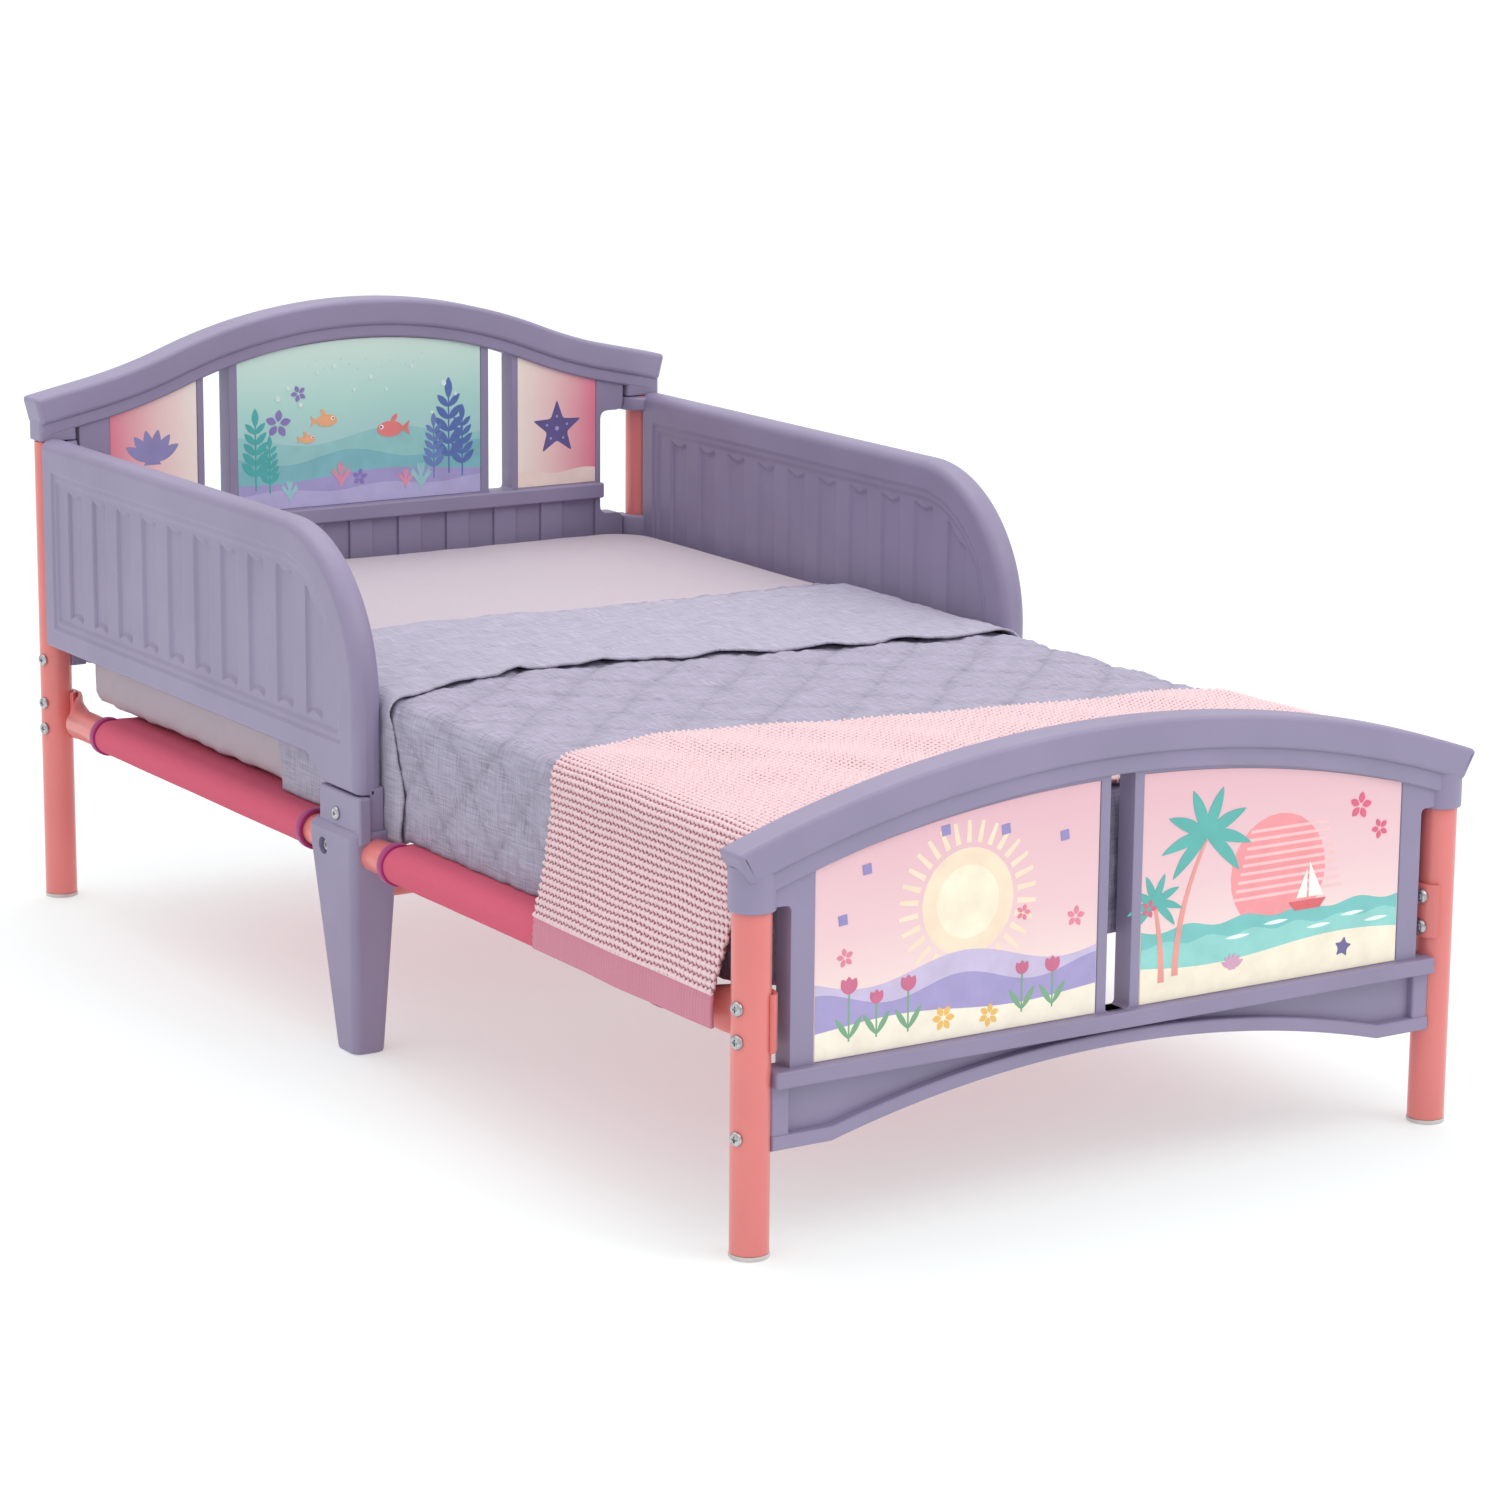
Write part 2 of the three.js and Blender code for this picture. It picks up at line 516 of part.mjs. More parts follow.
function makeLeg(sx) {
  const { tongue, pocket, screw, bolt } = LEG
  const post = loft([LEG.bottom, LEG.waist, LEG.shoulder, LEG.top].map((section) => legRing(sx, section)))
  const upright = block(atSide(sx, tongue.x), tongue.y, tongue.z)
  const lapRoom = block(atSide(sx, [300, GUARD.lap + GAP]), [-60, 60], [GUARD.lapTab.low - GAP, 260])
  const hollow = block(atSide(sx, pocket.x), pocket.y, pocket.z)
  const railBore = rod('y', [-80, 80], RAIL.radius + GAP, [sx * POST.x, 0, RAIL.z])
  const barBore = rod('x', span(atSide(sx, [300, CROSS_BAR.halfLength + GAP])), CROSS_BAR.radius + GAP,
    [0, CROSS_BAR.y, CROSS_BAR.z])
  const screwHole = rod('x', span(atSide(sx, [300, 380])), SCREW.shaft + GAP, [0, screw.y, screw.z], FACETS.hole)
  const boltRecess = rod('x', span(atSide(sx, [bolt.seat, 390])), bolt.recess, [0, bolt.y, bolt.z], FACETS.hole)
  const boltHole = rod('x', span(atSide(sx, [330, 380])), BOLT.shaft + GAP, [0, bolt.y, bolt.z], FACETS.hole)
  return cut(join(cut(post, lapRoom), upright), hollow, railBore, barBore, screwHole, boltRecess, boltHole)
}

for (const { side, sx } of SIDES) {
  addPiece(`centre_leg_${side}`, makeLeg(sx), LAVENDER)
  const guardScrew = addPiece(`guardrail_screw_${side}`, headedPin({ ...SCREW, length: 24 }, -GAP), ZINC)
  guardScrew.rotation.z = sx > 0 ? Math.PI : 0
  guardScrew.position.set(sx * LEG.tongue.x[1], LEG.screw.y, LEG.screw.z)
  const legBolt = addPiece(`leg_bolt_${side}`, headedPin({ ...BOLT, length: 30 }, -GAP), ZINC)
  legBolt.rotation.z = sx > 0 ? Math.PI : 0
  legBolt.position.set(sx * LEG.bolt.seat, LEG.bolt.y, LEG.bolt.z)
}

// ---- side rails and cross bar -------------------------------------------------

/** One section of a rail's end, between round and flat as power falls from 1. */
function railRing(sx, sy, { y, x, halfWidth, halfHeight, power }) {
  const bend = (value) => Math.sign(value) * Math.abs(value) ** power
  return Array.from({ length: FACETS.tube }, (_, i) => {
    const angle = (i / FACETS.tube) * 2 * Math.PI
    return new THREE.Vector3(sx * (x + halfWidth * bend(Math.cos(angle))), sy * y,
      RAIL.z + halfHeight * bend(Math.sin(angle)))
  })
}

/** The flattened end of a rail and the saddle that wraps the bed side of a post. */
function railEnd({ sx, sy }) {
  const { straight, flare, plate, plateX, plateHalf, height } = RAIL_END
  const sections = [
    { y: straight - 4, x: POST.x, halfWidth: RAIL.radius, halfHeight: RAIL.radius, power: 1 },
    { y: straight + 8, x: POST.x - 2, halfWidth: 13, halfHeight: 17, power: 0.9 },
    { y: flare, x: 335.5, halfWidth: 6, halfHeight: 21, power: 0.6 },
    { y: plate, x: plateX, halfWidth: plateHalf, halfHeight: height, power: 0.3 },
    { y: POST.y, x: plateX, halfWidth: plateHalf, halfHeight: height, power: 0.3 },
  ]
  const flattened = loft(sections.map((section) => railRing(sx, sy, section)))
  const arc = new THREE.Shape()
  arc.absarc(0, 0, SADDLE.outer, -SADDLE.spread, SADDLE.spread, false)
  arc.lineTo(0, 0)
  const wrap = extruded(arc, 2 * height).rotateZ(sx > 0 ? Math.PI : 0)
  return join(flattened, solid(wrap.translate(sx * POST.x, sy * POST.y, RAIL.z - height)))
}

/** The room that a corner's bolts, nuts and post need in a rail's end. */
function railEndCuts(corner) {
  const holes = boltHeights.map((z) => throughPost(corner, z, [0, 40], BOLT.shaft + GAP))
  const seats = boltHeights.map((z) => throughPost(corner, z, [NUT.seat, 40], NUT.radius + 1))
  return [postWell(corner), ...holes, ...seats]
}

function makeRail(corner) {
  const { sx, sy } = corner
  const centre = [sx * POST.x, 0, RAIL.z]
  const along = (from, to) => span([sy * from, sy * to])
  const boltHole = rod('x', span(atSide(sx, [300, 380])), BOLT.shaft + GAP, [0, LEG.bolt.y, LEG.bolt.z], FACETS.hole)
  const inside = RAIL.radius - RAIL.wall
  if (corner.end === 'head') {
    const tube = rod('y', along(JOINT_Y.socket, RAIL_END.straight), RAIL.radius, centre)
    const bore = rod('y', along(-40, RAIL_END.straight - 6), inside, centre)
    return cut(join(tube, railEnd(corner)), bore, boltHole, ...railEndCuts(corner))
  }
  const tube = rod('y', along(-JOINT_Y.socket + GAP, RAIL_END.straight), RAIL.radius, centre)
  const spigot = rod('y', along(-JOINT_Y.spigotEnd, 40), JOINT_Y.spigotRadius, centre)
  const bore = rod('y', along(-60, RAIL_END.straight - 6), JOINT_Y.spigotRadius - RAIL.wall, centre)
  return cut(join(tube, spigot, railEnd(corner)), bore, boltHole, ...railEndCuts(corner))
}

for (const corner of CORNERS) addPiece(`side_rail_${corner.end}_${corner.side}`, makeRail(corner), CORAL)

function makeCrossBar() {
  const reach = [-CROSS_BAR.halfLength, CROSS_BAR.halfLength]
  const centre = [0, CROSS_BAR.y, CROSS_BAR.z]
  const bore = rod('x', [reach[0] - 5, reach[1] + 5], CROSS_BAR.radius - CROSS_BAR.wall, centre)
  return cut(rod('x', reach, CROSS_BAR.radius, centre), bore)
}

addPiece('cross_bar', makeCrossBar(), CORAL)

// ---- fabric deck --------------------------------------------------------------

/** A fabric panel with a tunnel along each side, which the rails run through. */
function makeDeck(ys) {
  const reach = span(ys)
  const tunnels = [-1, 1].map((sx) => rod('y', reach, DECK.outer, [sx * POST.x, 0, RAIL.z]))
  const bores = [-1, 1].map((sx) => rod('y', [reach[0] - 5, reach[1] + 5], DECK.inner, [sx * POST.x, 0, RAIL.z]))
  const web = block([-POST.x, POST.x], reach, [RAIL.z + DECK.outer - 1.8, RAIL.z + DECK.outer])
  return cut(join(...tunnels, web), ...bores)
}

for (const { end, sy } of ENDS) addPiece(`deck_${end}`, makeDeck([sy * DECK.near, sy * DECK.far]), SLEEVE)

// ---- bedding ------------------------------------------------------------------

/** A block with rounded upright corners, grown by a margin on every side. */
function pad(half, [foot, head], zs, corner, margin = 0) {
  const shape = roundedRect([-half - margin, half + margin], [foot - margin, head + margin], corner + margin)
  return slabXY(shape, zs)
}

const mattressSpan = [MATTRESS.foot, MATTRESS.head]
const mattressPad = (margin, zs) => pad(MATTRESS.half, mattressSpan, zs, MATTRESS.corner, margin)

function makeSheet() {
  const skin = mattressPad(SHEET.thickness + GAP, [SHEET.low, MATTRESS.top + GAP + SHEET.thickness])
  return cut(skin, mattressPad(GAP, [0, MATTRESS.top + GAP]))
}

function makeQuilt() {
  const inset = SHEET.thickness + 2 * GAP
  const length = [QUILT.foot, QUILT.head + MATTRESS.corner]
  const skin = pad(QUILT.half, length, [QUILT.low, QUILT.top], MATTRESS.corner)
  const cuff = block([-QUILT.half, QUILT.half], [QUILT.cuffFoot, QUILT.head], [QUILT.top - 1, QUILT.cuffTop])
  const beyond = block([-400, 400], [QUILT.head, 400], [0, 400])
  return cut(join(skin, cuff), mattressPad(inset, [0, MATTRESS.top + inset]), beyond)
}

/** The throw: over the quilt, down its sides and outside the rails. */
function makeThrow() {
  const { thickness, shelf, railX, railTop, hem } = THROW
  const under = [[QUILT.half + GAP, QUILT.top + GAP], [QUILT.half + GAP, shelf], [railX, railTop], [railX, hem]]
  const over = [[railX + thickness, hem], [railX + thickness, railTop + 2],
    [QUILT.half + GAP + thickness, shelf + 3], [QUILT.half + GAP + thickness, QUILT.top + GAP + thickness]]
  const right = [...under, ...over]
  const left = right.map(([x, z]) => [-x, z])
  return slabXZ(outline([...left.slice(0, 4).reverse(), ...right.slice(0, 4), ...right.slice(4), ...left.slice(4).reverse()]),
    [THROW.foot, THROW.head])
}

addPiece('mattress', mattressPad(0, [MATTRESS.low, MATTRESS.top]), FOAM)
addPiece('fitted_sheet', makeSheet(), SHEET_CLOTH)
addPiece('quilt', makeQuilt(), QUILT_CLOTH)
addPiece('throw', makeThrow(), THROW_KNIT)

export default bed
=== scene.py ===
"""The looks of a toddler bed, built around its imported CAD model.

Sizes are millimetres in the model's own frame, +X across the bed, +Y to the
headboard, +Z up, and become metres when a mesh is made.
"""

import math

import bpy
import numpy as np
from mathutils import Matrix, Vector
from mathutils.geometry import tessellate_polygon


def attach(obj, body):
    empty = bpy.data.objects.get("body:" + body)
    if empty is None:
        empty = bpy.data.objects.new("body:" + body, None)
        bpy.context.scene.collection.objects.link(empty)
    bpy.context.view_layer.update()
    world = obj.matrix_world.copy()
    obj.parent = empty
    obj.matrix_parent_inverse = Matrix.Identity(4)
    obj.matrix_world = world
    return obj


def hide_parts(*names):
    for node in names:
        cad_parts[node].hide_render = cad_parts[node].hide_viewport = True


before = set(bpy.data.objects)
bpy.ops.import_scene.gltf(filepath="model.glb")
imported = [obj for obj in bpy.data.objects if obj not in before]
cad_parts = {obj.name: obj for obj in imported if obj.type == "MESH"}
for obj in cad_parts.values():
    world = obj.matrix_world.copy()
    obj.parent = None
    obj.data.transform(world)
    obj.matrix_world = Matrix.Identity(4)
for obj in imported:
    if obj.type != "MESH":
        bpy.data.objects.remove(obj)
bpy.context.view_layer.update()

# ---- sizes ----------------------------------------------------------------------

MM = 0.001

POST = {"x": 345.5, "y": 657, "radius": 15.9, "head_top": 470.1, "foot_top": 278.7}
CAP = {"radius": 16.4, "height": 4}
COLLAR = {"radius": 19, "foot_top": 315, "bevel": 1.2}
BOLT_TURN = math.radians(16)
BOLT_HEAD = {"radius": 6, "height": 3, "shaft": 3, "length": 43, "short": 30}
SCREW_HEAD = {"radius": 6, "height": 2.6, "shaft": 2.5, "length": 42, "short": 24}
NUT = {"radius": 6.5, "height": 4.2, "shaft": 4, "length": 3, "seat": 20.5}
SEAT_GAP = 0.3
PANEL_TUCK = 14

RAIL = {"z": 190, "radius": 15, "bolt_spread": 13.2}
SADDLE = {"inner": 16.2, "outer": 20.5, "half": 23.5, "spread": 60}
CROSS_BAR = {"y": 3, "z": 150, "radius": 11, "half": 330}

HEAD = {
    "peak": 594.5, "arc": 590, "shoulder": 215, "sweep": 550, "tail": math.radians(12),
    "half_top": 367, "half_bottom": 366, "band": 28, "frieze": 40,
    "band_y": (639.8, 676.5), "frieze_y": (643.5, 673), "panel_y": (647.2, 670),
    "panel_half": 318, "bottom": 240, "art_floor": 649.3, "art_half": 142.6,
    "side_art": (187.5, 284.4), "art_bottom": 380.4, "art_depth": 41, "slot": (152, 180),
    "gap": (290, 345, 457), "ledge": (292, 641.5, 363, 379.4),
    "bead_floor": 652, "bead_low": 250, "bead_half": 284, "screw_z": 247.8,
    "ear_y": (646, 671), "ear_z": (240, 300), "end_block": (322, 361.5), "end_top": 494,
}
FOOT = {
    "peak": 391.5, "arc": 1100, "half_top": 370.5, "half_bottom": 366, "band": 28, "frieze": 43,
    "band_y": (-676.5, -643.5), "frieze_y": (-672, -645), "panel_y": (-668.5, -647),
    "panel_half": 316.9, "shoulder_half": 334, "gap_top": 281, "art_floor": -666.2,
    "art": (21.7, 294.8), "art_depth": 46, "slot": 12, "ledge": (333, -676, 137, 151),
    "apron_half": 333, "apron_flat": 277, "apron_low": 86, "apron_rise": 36,
    "apron_y": (-661, -649), "lip_y": (-670, -648), "lip": 12, "screw_z": 99,
    "ear_y": (-668, -646), "ear_z": (90, 138),
}
EAR_X = (316, 333)
BEAD = {"period": 57.6, "width": 27, "count": 4, "rise": 3.2, "groove": 2.6}

GUARD = {
    "outer": 364, "inner": 336, "lap": 350.3, "head": 637.5, "foot": -37, "top": 474, "bottom": 265,
    "arc": 147, "arc_y": 110, "arc_z": 327, "tab_low": 245, "tab": (21, 66), "lap_tab": (207, 30),
    "rim": 10.5, "low_rim": 5, "end_rim": 3,
    "recess_inset": 30, "recess_low": 287, "recess_head": 615,
    "collar": 27, "collar_arc": (156, 280), "collars": ((455.6, 470.1), (313, 341)),
}
LEG = {
    "rings": ((0, (325, 357), (-16, 22)), (190, (321, 369.5), (-38, 46)),
              (206, (320.5, 370), (-40, 47)), (212, (320.5, 364), (-40, 46))),
    "corner": 8, "tongue_x": (351, 363.5), "tongue_y": (-42, 36), "tongue_z": (200, 243.5),
    "screw": (2, 222), "bolt": (18, 190), "recess": 8, "seat": 363.5,
}

DECK = {"outer": 16.8, "near": 79, "far": 531, "thick": 1.5, "binding": 9}
PAD = {"half": 325, "foot": -632, "head": 637, "low": 207.5, "top": 323, "corner": 48, "under": 11}
SHEET = {"grow": 1.4, "low": 208.5, "top": 325, "thick": 1.0, "rim": 12}
QUILT = {"half": 332, "foot": -640, "head": 250, "low": 207.6, "top": 329, "cell": 92, "thick": 2.4,
         "rim": 16, "puff": 2.7, "sag": 5, "pull": 78}
CUFF = {"rise": 3.6, "low": 208, "thick": 2.0, "rim": 17, "wave": 15, "lift": 3.2, "settle": 1.5,
        "curl": 13}
THROW = {"foot": -631, "thick": 3.2, "pitch": 6.1, "loop": 6.4, "ridge": 2.0, "hem": 30}

CAMERA = {"at": (-2095.68, -3390.89, 1125.72), "yaw": 32.58, "pitch": 12.39, "roll": 0.5,
          "lens": 105.066, "sensor": 36, "shift": (0.0, -0.0072)}

# name, place and target in metres, size, power
LIGHTS = (("key", (1.9, -2.9, 3.4), (0, 0, 0.2), 2.2, 28), ("top", (0.2, 0.9, 3.6), (0, 0, 0.2), 2.6, 25))
SKY_STRENGTH = 1.3
SKY_HORIZON = (0.42, 0.42, 0.43)
SKY_ZENITH = (1.0, 1.0, 1.0)
PAPER = (0.54, 0.6, 0.595)
PAPER_GLOW = 0.42
FLOOR_HALF = 40000

SIDES = (("left", -1), ("right", 1))
CORNERS = tuple((end, sy, side, sx) for end, sy in (("head", 1), ("foot", -1)) for side, sx in SIDES)


# ---- meshes ---------------------------------------------------------------------
# A part is a pair: an array of points in millimetres and a list of faces.

def grid_faces(rows, cols, wrap=False):
    """Quads between rows of points; wrap closes each row on itself."""
    last = cols if wrap else cols - 1
    r, c = np.meshgrid(np.arange(rows - 1), np.arange(last), indexing="ij")
    a = r * cols + c
    b = r * cols + (c + 1) % cols
    return np.stack([a, b, b + cols, a + cols], -1).reshape(-1, 4).tolist()


def loft(rings, capped=True):
    """A skin through rings of equally many points."""
    rings = np.asarray(rings, float)
    rows, cols = rings.shape[:2]
    faces = grid_faces(rows, cols, wrap=True)
    if capped:
        faces += [list(range(cols))[::-1], list(range((rows - 1) * cols, rows * cols))]
    return rings.reshape(-1, 3), faces


def merge(*parts):
    """Several parts as one."""
    points, faces, base = [], [], 0
    for some_points, some_faces in parts:
        points.append(some_points)
        faces += [[i + base for i in face] for face in some_faces]
        base += len(some_points)
    return np.concatenate(points), faces


def placed(part, matrix):
    """The part moved by a 4x4 matrix; a mirroring one turns its faces too."""
    points, faces = part
    m = np.array(matrix, float)
    if np.linalg.det(m[:3, :3]) < 0:
        faces = [face[::-1] for face in faces]
    return points @ m[:3, :3].T + m[:3, 3], faces


def mirrored(part):
    return placed(part, Matrix.Diagonal((-1, 1, 1, 1)))


def at_side(part, sx):
    """A part modelled on the right side, put on the side that sx says."""
    return part if sx > 0 else mirrored(part)


def add_object(name, part, material, smooth_angle=None, weighted=False):
    points, faces = part
    mesh = bpy.data.meshes.new(name)
    mesh.from_pydata((np.asarray(points) * MM).tolist(), [], faces)
    mesh.shade_smooth()
    if smooth_angle:
        mesh.set_sharp_from_angle(angle=math.radians(smooth_angle))
    mesh.materials.append(material)
    obj = bpy.data.objects.new(name, mesh)
    bpy.context.scene.collection.objects.link(obj)
    if weighted:
        modifier = obj.modifiers.new("normals", "WEIGHTED_NORMAL")
        modifier.keep_sharp = True
    return obj


def finished(obj, body, slot, *nodes):
    """Rides obj on its body and hides the CAD nodes it stands for; its slot is not used."""
    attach(obj, body)
    if nodes:
        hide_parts(*nodes)
    return obj


def fixed(name, part, made, angle, *nodes, **options):
    """A rigid piece of the frame; a finish name is worked out from its material but not used. Blender numbers
    a material after a dot when the CAD model's own has the name."""
    slot_name = made.name.partition(".")[0]
    return finished(add_object(name, part, made, angle, **options), "bed_frame", slot_name, *nodes)


def plain_mesh(obj):
    """Applies all of an object's modifiers."""
    graph = bpy.context.evaluated_depsgraph_get()
    mesh = bpy.data.meshes.new_from_object(obj.evaluated_get(graph))
    obj.modifiers.clear()
    obj.data = mesh
    return obj


XZ = Matrix(((1, 0, 0, 0), (0, 0, -1, 0), (0, 1, 0, 0), (0, 0, 0, 1)))
YZ = Matrix(((0, 0, 1, 0), (1, 0, 0, 0), (0, 1, 0, 0), (0, 0, 0, 1)))
XY = Matrix.Identity(4)


def wound(outline, left_handed):
    """The outline without repeated points, turning left or right."""
    points = np.array(outline, float)
    points = points[np.linalg.norm(points - np.roll(points, 1, 0), axis=1) > 1e-4]
    ahead = np.roll(points, -1, 0)
    turns_left = np.sum(points[:, 0] * ahead[:, 1] - ahead[:, 0] * points[:, 1]) > 0
    return points if turns_left == left_handed else points[::-1]


def shifted(points, distance):
    """A closed line of points moved to its left by a distance."""
    ahead = np.roll(points, -1, 0) - points
    ahead /= np.linalg.norm(ahead, axis=1)[:, None]
    both = ahead + np.roll(ahead, 1, 0)
    normal = np.stack([-both[:, 1], both[:, 0]], 1)
    normal /= np.linalg.norm(normal, axis=1)[:, None]
    square = np.stack([-ahead[:, 1], ahead[:, 0]], 1)
    cosine = np.clip(np.einsum("ij,ij->i", normal, square), 0.5, 1)
    return points + normal * (distance / cosine)[:, None]


def slab(outlines, depths, bevel, plane=XZ, segments=4):
    """Outlines, the first the edge and the rest holes, as a slab with rounded edges."""
    low, high = sorted(depths)
    half = (high - low) / 2
    turns = np.radians(np.linspace(0, 90, segments + 1))
    levels = [(bevel * (1 - math.sin(t)), half - bevel * (1 - math.cos(t))) for t in turns]
    levels += [(shift, -height) for shift, height in levels[::-1]]
    lines = [wound(outline, index == 0) for index, outline in enumerate(outlines)]
    points, faces, rims, base = [], [], [], 0
    for line in lines:
        for shift, height in levels:
            points.append(np.column_stack([shifted(line, shift), np.full(len(line), height)]))
        faces += [[i + base for i in face[::-1]] for face in grid_faces(len(levels), len(line), wrap=True)]
        rims.append((base, base + (len(levels) - 1) * len(line), len(line)))
        base += len(levels) * len(line)
    first = [i for near, _, count in rims for i in range(near, near + count)]
    last = [i for _, far, count in rims for i in range(far, far + count)]
    points = np.concatenate(points)
    flat = [[Vector((*xy, 0)) for xy in shifted(line, bevel)] for line in lines]
    for triangle in tessellate_polygon(flat):
        a, b, c = (points[first[i]][:2] for i in triangle)
        turned = (b[0] - a[0]) * (c[1] - a[1]) - (b[1] - a[1]) * (c[0] - a[0]) > 0
        triangle = list(triangle) if turned else list(triangle)[::-1]
        faces.append([first[i] for i in triangle])
        faces.append([last[i] for i in triangle[::-1]])
    turn = np.array(plane.to_3x3())
    points = points @ turn.T
    points[:, int(np.argmax(np.abs(turn[:, 2])))] += (low + high) / 2
    return points, faces


def rounded_rect(xs, ys, radius, steps=6):
    """Points round a rectangle with rounded corners."""
    (x0, x1), (y0, y1) = sorted(xs), sorted(ys)
    corners = ((x1 - radius, y0 + radius, -90), (x1 - radius, y1 - radius, 0),
               (x0 + radius, y1 - radius, 90), (x0 + radius, y0 + radius, 180))
    turns = [math.radians(90 * i / steps) for i in range(steps + 1)]
    points = []
    for cx, cy, start in corners:
        angles = [math.radians(start) + turn for turn in turns]
        points += [(cx + radius * math.cos(a), cy + radius * math.sin(a)) for a in angles]
    return points


def lathe(profile, segments=64):
    """A profile of (radius, height) pairs turned about +Z."""
    angles = np.linspace(0, 2 * np.pi, segments, endpoint=False)
    rings = [[(r * np.cos(a), r * np.sin(a), h) for a in angles] for r, h in profile]
    return loft(rings)


def rounded_profile(radius, low, high, bevel, steps=4):
    """A turned bar's profile with both ends rounded off."""
    turns = [math.radians(90 * i / steps) for i in range(steps + 1)]
    foot = [(radius - bevel + bevel * math.sin(t), low + bevel - bevel * math.cos(t)) for t in turns]
    head = [(radius - bevel + bevel * math.cos(t), high - bevel + bevel * math.sin(t)) for t in turns]
    return foot + head


def ripple(x, y, wavelength, seed, waves=9):
    """Smooth unevenness of about one unit, the same on each run."""
    rng = np.random.default_rng(seed)
    total = np.zeros_like(np.asarray(x, float))
    for _ in range(waves):
        angle, phase = rng.uniform(0, 2 * np.pi, 2)
        length = wavelength * rng.uniform(0.7, 1.6)
        total += np.sin((x * math.cos(angle) + y * math.sin(angle)) * 2 * np.pi / length + phase)
    return total / math.sqrt(waves)


def smoothstep(low, high, value):
    t = np.clip((np.asarray(value, float) - low) / (high - low), 0, 1)
    return t * t * (3 - 2 * t)


def edge_drop(distance, radius):
    """How far a rounded edge falls away at a distance in from its outline."""
    reach = np.clip(radius - distance, 0, radius)
    return radius - np.sqrt(radius ** 2 - reach ** 2)


# ---- materials ------------------------------------------------------------------

def material(name, color, roughness, **sockets):
    """A Principled material with flat values; returns it with its nodes and shader."""
    made = bpy.data.materials.new(name)
    made.use_nodes = True
    shader = made.node_tree.nodes["Principled BSDF"]
    shader.inputs["Base Color"].default_value = (*color, 1)
    shader.inputs["Roughness"].default_value = roughness
    for socket, value in sockets.items():
        shader.inputs[socket.replace("_", " ")].default_value = value
    return made


def node(made, kind, **settings):
    new = made.node_tree.nodes.new(kind)
    for key, value in settings.items():
        if key in new.inputs:
            new.inputs[key].default_value = value
        else:
            setattr(new, key, value)
    return new


def link(made, source, target):
    made.node_tree.links.new(source, target)


def shader_of(made):
    return made.node_tree.nodes["Principled BSDF"]


def position(made, scale=(1, 1, 1)):
    """The point's place on its object in metres, times a scale."""
    coordinates = node(made, "ShaderNodeTexCoord")
    mapping = node(made, "ShaderNodeMapping", Scale=scale)
    link(made, coordinates.outputs["Object"], mapping.inputs["Vector"])
    return mapping.outputs["Vector"]


def flat_cloth(made, scale=(1, 1, 1)):
    """The point's place on the cloth before it was laid, in metres, times a scale."""
    attribute = node(made, "ShaderNodeAttribute", attribute_name="flat")
    mapping = node(made, "ShaderNodeMapping", Scale=scale)
    link(made, attribute.outputs["Vector"], mapping.inputs["Vector"])
    return mapping.outputs["Vector"]


def noise(made, vector, scale, detail=4, roughness=0.5):
    texture = node(made, "ShaderNodeTexNoise", Scale=scale, Detail=detail, Roughness=roughness)
    link(made, vector, texture.inputs["Vector"])
    return texture.outputs["Fac"]


def wave(made, vector, direction, scale, distortion=0, detail=2, detail_scale=1):
    texture = node(made, "ShaderNodeTexWave", bands_direction=direction, Scale=scale, Distortion=distortion,
                   Detail=detail)
    texture.inputs["Detail Scale"].default_value = detail_scale
    link(made, vector, texture.inputs["Vector"])
    return texture.outputs["Fac"]


def ramp(made, value, *stops):
    """A value turned into colour by (place, colour) stops."""
    new = node(made, "ShaderNodeValToRGB")
    elements = new.color_ramp.elements
    while len(elements) < len(stops):
        elements.new(0.5)
    for element, (place, color) in zip(elements, stops):
        element.position = place
        element.color = (*color, 1)
    link(made, value, new.inputs["Fac"])
    return new.outputs["Color"]


def arithmetic(made, operation, first, second):
    new = node(made, "ShaderNodeMath", operation=operation)
    for socket, value in zip(new.inputs, (first, second)):
        if isinstance(value, (int, float)):
            socket.default_value = value
        else:
            link(made, value, socket)
    return new.outputs["Value"]


def plus(made, first, second):
    return arithmetic(made, "ADD", first, second)


def minus(made, first, second):
    return arithmetic(made, "SUBTRACT", first, second)


def times(made, first, second):
    return arithmetic(made, "MULTIPLY", first, second)


def mottled(made, place, scale, detail, low, high):
    """Colours the material by a noise, between two colours."""
    color_from(made, ramp(made, noise(made, place, scale, detail), (0.3, low), (0.7, high)))


def bump(made, height, strength, distance, under=None):
    new = node(made, "ShaderNodeBump", Strength=strength, Distance=distance)
    link(made, height, new.inputs["Height"])
    if under is not None:
        link(made, under, new.inputs["Normal"])
    link(made, new.outputs["Normal"], shader_of(made).inputs["Normal"])
    return new.outputs["Normal"]


def color_from(made, color):
    link(made, color, shader_of(made).inputs["Base Color"])


def roughness_from(made, value, low, high):
    spread = node(made, "ShaderNodeMapRange")
    spread.inputs["To Min"].default_value = low
    spread.inputs["To Max"].default_value = high
    link(made, value, spread.inputs["Value"])
    link(made, spread.outputs["Result"], shader_of(made).inputs["Roughness"])


def srgb(red, green, blue):
    """A screen colour from 0 to 255 as linear values."""
    parts = (red / 255, green / 255, blue / 255)
    return tuple(c / 12.92 if c < 0.04045 else ((c + 0.055) / 1.055) ** 2.4 for c in parts)


def shade(color, factor):
    return tuple(min(c * factor, 1) for c in color)


